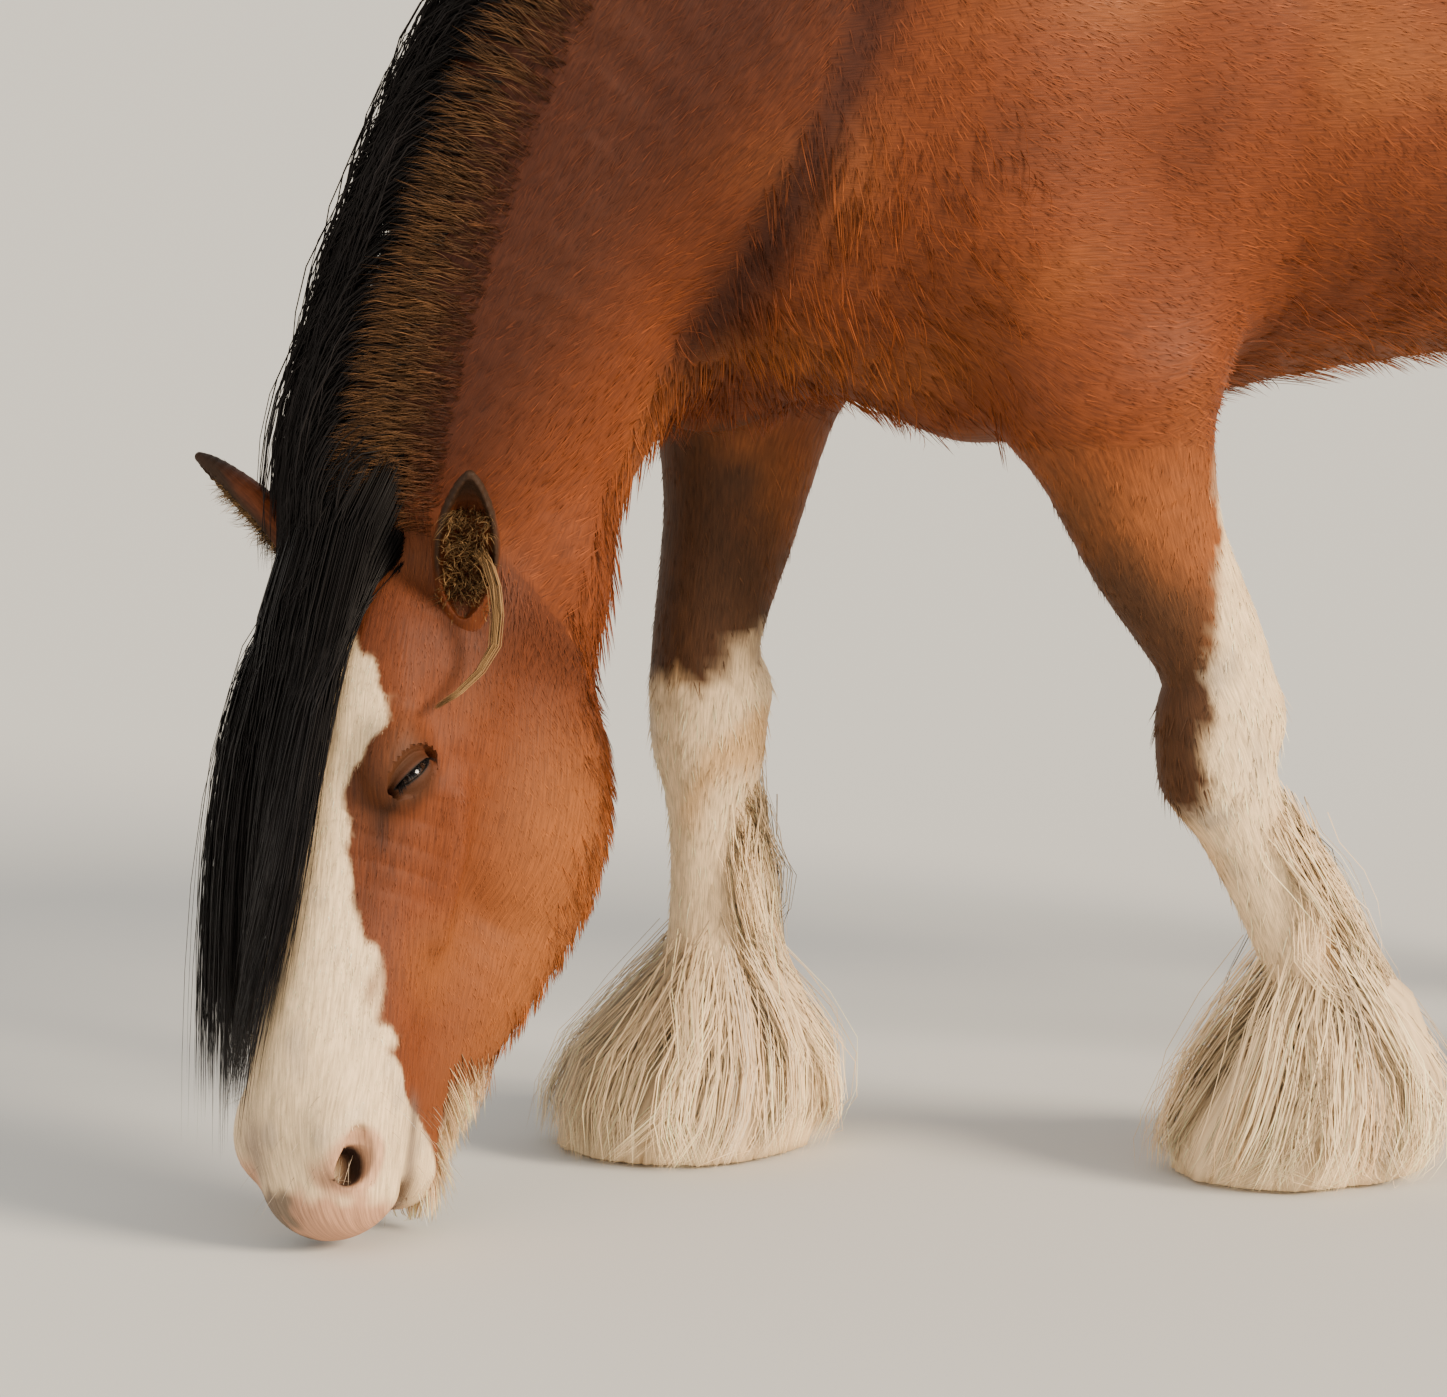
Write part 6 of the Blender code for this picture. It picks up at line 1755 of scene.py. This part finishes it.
def eyeball(name, centre, axes):
    """A ball with its pole outward and the cornea a little proud, with a long dark pupil."""
    rings, sides = 28, 48
    tilt = math.pi * (np.arange(rings + 1) + 0.001) / (rings + 0.002)
    turn = 2 * math.pi * np.arange(sides) / sides
    tilt, turn = np.meshgrid(tilt, turn, indexing="ij")
    local = np.stack((np.cos(tilt), np.sin(tilt) * np.cos(turn), np.sin(tilt) * np.sin(turn)), axis=-1)
    local = local.reshape(-1, 3)
    swell = 1.0 + 0.045 * np.exp(-(tilt.reshape(-1, 1) / 0.55) ** 2)
    points = centre + (local * EYE_RADIUS * 0.985 * swell) @ axes
    iris = np.hypot(local[:, 1], local[:, 2])
    pupil = np.hypot(local[:, 1] / 0.34, local[:, 2] / 0.16)
    colours = mix(IRIS, PUPIL, ramp(1.3 - pupil, 0.0, 0.4))
    colours = mix(colours, EYE_WHITE, ramp(iris, 0.66, 0.76))
    faces = grid_faces(rings + 1, sides)
    obj = new_mesh_object(name, points, faces.ravel(), np.full(len(faces), 4), colours)
    obj.data.materials.append(eye_material())
    return obj


def build_hooves():
    """Hooves with growth rings and a flat sole."""
    rings, sides = 26, 64
    turn = 2 * math.pi * np.arange(sides) / sides
    faces = grid_faces(rings + 1, sides)
    corners = np.concatenate((faces.ravel(), np.arange(sides)[::-1]))
    sizes = np.append(np.full(len(faces), 4), sides)
    for n, (foot, _, _) in enumerate(LEG_LINES):
        kind = LEG_NAMES[n].replace("_", "hoof_")
        rows = []
        for share in np.arange(rings + 1) / rings:
            scale = 1.0 - 0.22 * share + 0.006 * math.sin(share * 42) * (1 - share)
            rows.append(np.stack((foot[0] - 0.012 * share + HOOF_HALF_LENGTH * scale * np.cos(turn),
                                  foot[1] + HOOF_HALF_WIDTH * scale * np.sin(turn),
                                  np.full(sides, share * (HOOF_HEIGHT - 0.001))), axis=1))
        points = np.concatenate(rows)
        tone = 0.5 + 0.5 * blotch(points * (1, 1, 4), 0.09, 90 + n)
        colours = mix(HORN_LIGHT, HORN_DARK, np.clip(tone, 0, 1) * 0.6)
        obj = new_mesh_object(kind + "_horn", points, corners, sizes, colours)
        obj.data.materials.append(horn_material())
        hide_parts(kind)


def new_material(name):
    material = bpy.data.materials.new(name)
    material.use_nodes = True
    nodes = material.node_tree.nodes
    return material, nodes, material.node_tree.links, nodes["Principled BSDF"]


def colour_node(nodes):
    """The colour that each mesh carries on its points."""
    node = nodes.new("ShaderNodeAttribute")
    node.attribute_name = "hair_colour"
    return node


def bumpy_material(name, scale, detail, strength, distance):
    """A finish in the mesh's own colour, with a fine uneven surface."""
    material, nodes, links, shader = new_material(name)
    noise = add_node(nodes, "ShaderNodeTexNoise", Scale=scale, Detail=detail)
    bump = add_node(nodes, "ShaderNodeBump", Strength=strength, Distance=distance)
    links.new(colour_node(nodes).outputs["Color"], shader.inputs["Base Color"])
    links.new(noise.outputs["Fac"], bump.inputs["Height"])
    links.new(bump.outputs["Normal"], shader.inputs["Normal"])
    return material, nodes, links, shader, noise


def add_node(nodes, kind, **values):
    """A node of the given kind, with some of its inputs set."""
    node = nodes.new(kind)
    for name, value in values.items():
        node.inputs[name.replace("_", " ")].default_value = value
    return node


def grain_group():
    """Streaks along the lie of the hair: an uneven colour and a height."""
    if "hair grain" in bpy.data.node_groups:
        return bpy.data.node_groups["hair grain"]
    group = bpy.data.node_groups.new("hair grain", "ShaderNodeTree")
    face = group.interface
    face.new_socket("Colour", in_out="INPUT", socket_type="NodeSocketColor")
    face.new_socket("Place", in_out="INPUT", socket_type="NodeSocketVector")
    strength = face.new_socket("Streak strength", in_out="INPUT", socket_type="NodeSocketFloat")
    strength.default_value = 0.4
    face.new_socket("Colour", in_out="OUTPUT", socket_type="NodeSocketColor")
    face.new_socket("Height", in_out="OUTPUT", socket_type="NodeSocketFloat")
    nodes, links = group.nodes, group.links
    start = nodes.new("NodeGroupInput")
    end = nodes.new("NodeGroupOutput")
    stretch = add_node(nodes, "ShaderNodeMapping", Scale=(420.0, 36.0, 1.0))
    noise = add_node(nodes, "ShaderNodeTexNoise", Scale=1.0, Detail=4.0, Roughness=0.6)
    spread = add_node(nodes, "ShaderNodeMapRange", From_Min=0.3, From_Max=0.7, To_Min=-1.0, To_Max=1.0)
    scaled = nodes.new("ShaderNodeMath")
    scaled.operation = "MULTIPLY_ADD"
    scaled.inputs[2].default_value = 1.0
    shade = add_node(nodes, "ShaderNodeMix", Factor=1.0)
    shade.data_type = "RGBA"
    shade.blend_type = "MULTIPLY"
    grey = nodes.new("ShaderNodeCombineColor")
    links.new(start.outputs["Place"], stretch.inputs["Vector"])
    links.new(stretch.outputs["Vector"], noise.inputs["Vector"])
    links.new(noise.outputs["Fac"], spread.inputs["Value"])
    links.new(spread.outputs["Result"], scaled.inputs[0])
    links.new(start.outputs["Streak strength"], scaled.inputs[1])
    for channel in ("Red", "Green", "Blue"):
        links.new(scaled.outputs[0], grey.inputs[channel])
    links.new(start.outputs["Colour"], shade.inputs[6])
    links.new(grey.outputs["Color"], shade.inputs[7])
    links.new(shade.outputs[2], end.inputs["Colour"])
    links.new(noise.outputs["Fac"], end.inputs["Height"])
    return group


def skin_material():
    material, nodes, links, shader = new_material("skin under the coat")
    place_node = nodes.new("ShaderNodeUVMap")
    place_node.uv_map = "hair_lie"
    grain = nodes.new("ShaderNodeGroup")
    grain.node_tree = grain_group()
    grain.inputs["Streak strength"].default_value = 0.35
    bump = add_node(nodes, "ShaderNodeBump", Strength=0.6, Distance=0.0015)
    links.new(colour_node(nodes).outputs["Color"], grain.inputs["Colour"])
    links.new(place_node.outputs["UV"], grain.inputs["Place"])
    links.new(grain.outputs["Colour"], shader.inputs["Base Color"])
    links.new(grain.outputs["Height"], bump.inputs["Height"])
    links.new(bump.outputs["Normal"], shader.inputs["Normal"])
    shader.inputs["Roughness"].default_value = 0.6
    shader.inputs["Specular IOR Level"].default_value = 0.2
    return material


def hair_material(name, roughness, shine):
    material, nodes, links, shader = new_material(name)
    noise = add_node(nodes, "ShaderNodeTexNoise", Scale=60.0)
    rough = add_node(nodes, "ShaderNodeMapRange", To_Min=roughness - 0.08, To_Max=roughness + 0.10)
    links.new(colour_node(nodes).outputs["Color"], shader.inputs["Base Color"])
    links.new(noise.outputs["Fac"], rough.inputs["Value"])
    links.new(rough.outputs["Result"], shader.inputs["Roughness"])
    shader.inputs["Specular IOR Level"].default_value = shine
    return material


def eye_material():
    material, _, _, shader, _ = bumpy_material("wet eye", 300.0, 2.0, 0.04, 0.0005)
    shader.inputs["Roughness"].default_value = 0.10
    shader.inputs["Coat Weight"].default_value = 0.6
    shader.inputs["Coat Roughness"].default_value = 0.02
    return material


def lid_material():
    material, _, _, shader, _ = bumpy_material("skin of the lids", 420.0, 5.0, 0.5, 0.0006)
    shader.inputs["Roughness"].default_value = 0.60
    shader.inputs["Specular IOR Level"].default_value = 0.20
    return material


def horn_material():
    material, nodes, links, shader, noise = bumpy_material("hoof horn", 1.0, 2.0, 0.5, 0.001)
    place_node = nodes.new("ShaderNodeTexCoord")
    stretch = add_node(nodes, "ShaderNodeMapping", Scale=(260.0, 260.0, 20.0))
    links.new(place_node.outputs["Object"], stretch.inputs["Vector"])
    links.new(stretch.outputs["Vector"], noise.inputs["Vector"])
    shader.inputs["Roughness"].default_value = 0.5
    return material


def build_stage(settings):
    """Pale floor, soft lights and the camera of the photograph."""
    scene = bpy.context.scene
    mesh = bpy.data.meshes.new("floor")
    corners = [(x * FLOOR_HALF_SIZE, y * FLOOR_HALF_SIZE, 0)
               for x, y in ((-1, -1), (1, -1), (1, 1), (-1, 1))]
    mesh.from_pydata(corners, [], [(0, 1, 2, 3)])
    floor = bpy.data.objects.new("floor", mesh)
    scene.collection.objects.link(floor)
    material, _, _, shader = new_material("pale floor")
    shader.inputs["Base Color"].default_value = tuple(settings.floor_colour) + (1.0,)
    shader.inputs["Roughness"].default_value = 0.85
    mesh.materials.append(material)
    world = bpy.data.worlds.new("soft studio") if scene.world is None else scene.world
    scene.world = world
    world.use_nodes = True
    background = world.node_tree.nodes["Background"]
    background.inputs["Color"].default_value = SKY_COLOUR
    background.inputs["Strength"].default_value = settings.sky_strength
    for name, spot, size, power, colour in LIGHTS:
        data = bpy.data.lights.new(name, "SUN")
        data.angle = math.radians(size)
        data.energy = power * settings.light_share
        data.color = colour
        light = bpy.data.objects.new(name, data)
        light.location = Vector(spot)
        light.rotation_euler = (Vector(LIT_PLACE) - light.location).to_track_quat("-Z", "Y").to_euler()
        scene.collection.objects.link(light)
    data = bpy.data.cameras.new("camera")
    data.sensor_fit = "HORIZONTAL"
    data.sensor_width = SENSOR_WIDTH
    data.lens = SENSOR_WIDTH * CAMERA_FOCAL / PHOTO_WIDTH
    data.clip_end = 300.0
    camera = bpy.data.objects.new("camera", data)
    yaw, pitch = math.radians(CAMERA_YAW), math.radians(CAMERA_PITCH)
    spot = np.array((CAMERA_DISTANCE * math.sin(yaw) + CAMERA_ASIDE * math.cos(yaw),
                     CAMERA_DISTANCE * math.cos(yaw) - CAMERA_ASIDE * math.sin(yaw), CAMERA_HEIGHT))
    camera.location = Vector(in_frame(spot))
    look = Vector((math.sin(yaw) * math.cos(pitch), math.cos(yaw) * math.cos(pitch), -math.sin(pitch)))
    camera.rotation_euler = look.to_track_quat("-Z", "Y").to_euler()
    scene.collection.objects.link(camera)
    scene.camera = camera


class HorseCoatSettings(bpy.types.PropertyGroup):
    """Sizes and colours of the coat."""

    tufts: bpy.props.IntProperty(
        name="Short tufts", description="Number of short tufts over the body",
        default=112000, min=1000, max=200000)
    tuft_length: bpy.props.FloatProperty(
        name="Coat length", description="Length of the short hair on the trunk",
        default=0.020, min=0.004, max=0.040, subtype="DISTANCE", unit="LENGTH")
    hair_share: bpy.props.FloatProperty(
        name="Long hair", description="Amount of long hair, as a share of the full amount",
        default=1.0, min=0.1, max=1.2, subtype="FACTOR")
    mane_length: bpy.props.FloatProperty(
        name="Mane length", description="Middle length of the mane",
        default=0.32, min=0.10, max=0.40, subtype="DISTANCE", unit="LENGTH")
    forelock_length: bpy.props.FloatProperty(
        name="Forelock length", description="Middle length of the forelock",
        default=0.60, min=0.20, max=0.62, subtype="DISTANCE", unit="LENGTH")
    bay: bpy.props.FloatVectorProperty(
        name="Bay", description="Red-brown of the body", default=(0.175, 0.042, 0.010),
        min=0.0, max=1.0, size=3, subtype="COLOR")
    cream: bpy.props.FloatVectorProperty(
        name="White", description="Creamy white of the blaze and the legs", default=(0.930, 0.680, 0.410),
        min=0.0, max=1.0, size=3, subtype="COLOR")
    black: bpy.props.FloatVectorProperty(
        name="Black", description="Black of mane, forelock and tail", default=(0.012, 0.010, 0.010),
        min=0.0, max=1.0, size=3, subtype="COLOR")


class HorseStageSettings(bpy.types.PropertyGroup):
    """Light and floor of the studio."""

    light_share: bpy.props.FloatProperty(
        name="Lights", description="Strength of the lights, as a share of the usual",
        default=1.0, min=0.1, max=4.0, subtype="FACTOR")
    sky_strength: bpy.props.FloatProperty(
        name="Room light", description="Strength of the light from all sides",
        default=0.85, min=0.0, max=4.0)
    floor_colour: bpy.props.FloatVectorProperty(
        name="Floor", description="Colour of the floor", default=(0.62, 0.62, 0.60),
        min=0.0, max=1.0, size=3, subtype="COLOR")


class HORSE_OT_skin(bpy.types.Operator):
    """Lay one smooth skin with its markings, painted light and painted shade over the flesh"""

    bl_idname = "horse.skin"
    bl_label = "Skin"

    def execute(self, context):
        build_skin()
        return {"FINISHED"}


class HORSE_OT_fur(bpy.types.Operator):
    """Grow short tufts along the lie of the coat"""

    bl_idname = "horse.fur"
    bl_label = "Short coat"

    def execute(self, context):
        build_fur(context.scene.horse_coat)
        return {"FINISHED"}


class HORSE_OT_mane(bpy.types.Operator):
    """Grow the mane and the short hair of the crest"""

    bl_idname = "horse.mane"
    bl_label = "Mane"

    def execute(self, context):
        build_mane(context.scene.horse_coat)
        return {"FINISHED"}


class HORSE_OT_forelock(bpy.types.Operator):
    """Grow the hair that falls over the face"""

    bl_idname = "horse.forelock"
    bl_label = "Forelock"

    def execute(self, context):
        build_forelock(context.scene.horse_coat)
        return {"FINISHED"}


class HORSE_OT_ear_hair(bpy.types.Operator):
    """Grow the hair inside the ears"""

    bl_idname = "horse.ear_hair"
    bl_label = "Ear hair"

    def execute(self, context):
        build_ear_hair(context.scene.horse_coat)
        return {"FINISHED"}


class HORSE_OT_feather(bpy.types.Operator):
    """Grow the long hair of the lower legs"""

    bl_idname = "horse.feather"
    bl_label = "Feather"

    def execute(self, context):
        build_feather(context.scene.horse_coat)
        return {"FINISHED"}


class HORSE_OT_tail(bpy.types.Operator):
    """Grow the long hair of the tail"""

    bl_idname = "horse.tail"
    bl_label = "Tail"

    def execute(self, context):
        build_tail(context.scene.horse_coat)
        return {"FINISHED"}


class HORSE_OT_fringes(bpy.types.Operator):
    """Grow the longer hair of jaw, chin, breast and belly"""

    bl_idname = "horse.fringes"
    bl_label = "Fringes"

    def execute(self, context):
        build_fringes(context.scene.horse_coat)
        return {"FINISHED"}


class HORSE_OT_eyes(bpy.types.Operator):
    """Make the eyeballs with lids and lashes"""

    bl_idname = "horse.eyes"
    bl_label = "Eyes"

    def execute(self, context):
        build_eyes()
        return {"FINISHED"}


class HORSE_OT_hooves(bpy.types.Operator):
    """Make the hooves with growth rings"""

    bl_idname = "horse.hooves"
    bl_label = "Hooves"

    def execute(self, context):
        build_hooves()
        return {"FINISHED"}


class HORSE_OT_stage(bpy.types.Operator):
    """Set up the floor, the lights and the camera"""

    bl_idname = "horse.stage"
    bl_label = "Studio"

    def execute(self, context):
        build_stage(context.scene.horse_stage)
        return {"FINISHED"}


STEPS = (HORSE_OT_skin, HORSE_OT_fur, HORSE_OT_mane, HORSE_OT_forelock, HORSE_OT_ear_hair, HORSE_OT_feather,
         HORSE_OT_tail, HORSE_OT_fringes, HORSE_OT_eyes, HORSE_OT_hooves, HORSE_OT_stage)


class HORSE_PT_panel(bpy.types.Panel):
    """Lists the sizes and the steps."""

    bl_idname = "HORSE_PT_panel"
    bl_label = "Clydesdale"
    bl_space_type = "VIEW_3D"
    bl_region_type = "UI"
    bl_category = "Clydesdale"

    def draw(self, context):
        for group in (context.scene.horse_coat, context.scene.horse_stage):
            for name in group.__annotations__:
                self.layout.prop(group, name)
        for step in STEPS:
            self.layout.operator(step.bl_idname)


CLASSES = (HorseCoatSettings, HorseStageSettings) + STEPS + (HORSE_PT_panel,)


def register():
    for kind in CLASSES:
        bpy.utils.register_class(kind)
    bpy.types.Scene.horse_coat = bpy.props.PointerProperty(type=HorseCoatSettings)
    bpy.types.Scene.horse_stage = bpy.props.PointerProperty(type=HorseStageSettings)


def unregister():
    del bpy.types.Scene.horse_stage
    del bpy.types.Scene.horse_coat
    for kind in reversed(CLASSES):
        bpy.utils.unregister_class(kind)


def main():
    register()
    bpy.ops.horse.skin()
    bpy.ops.horse.fur()
    bpy.ops.horse.mane()
    bpy.ops.horse.forelock()
    bpy.ops.horse.ear_hair()
    bpy.ops.horse.feather()
    bpy.ops.horse.tail()
    bpy.ops.horse.fringes()
    bpy.ops.horse.eyes()
    bpy.ops.horse.hooves()
    bpy.ops.horse.stage()


if __name__ == "__main__":
    main()
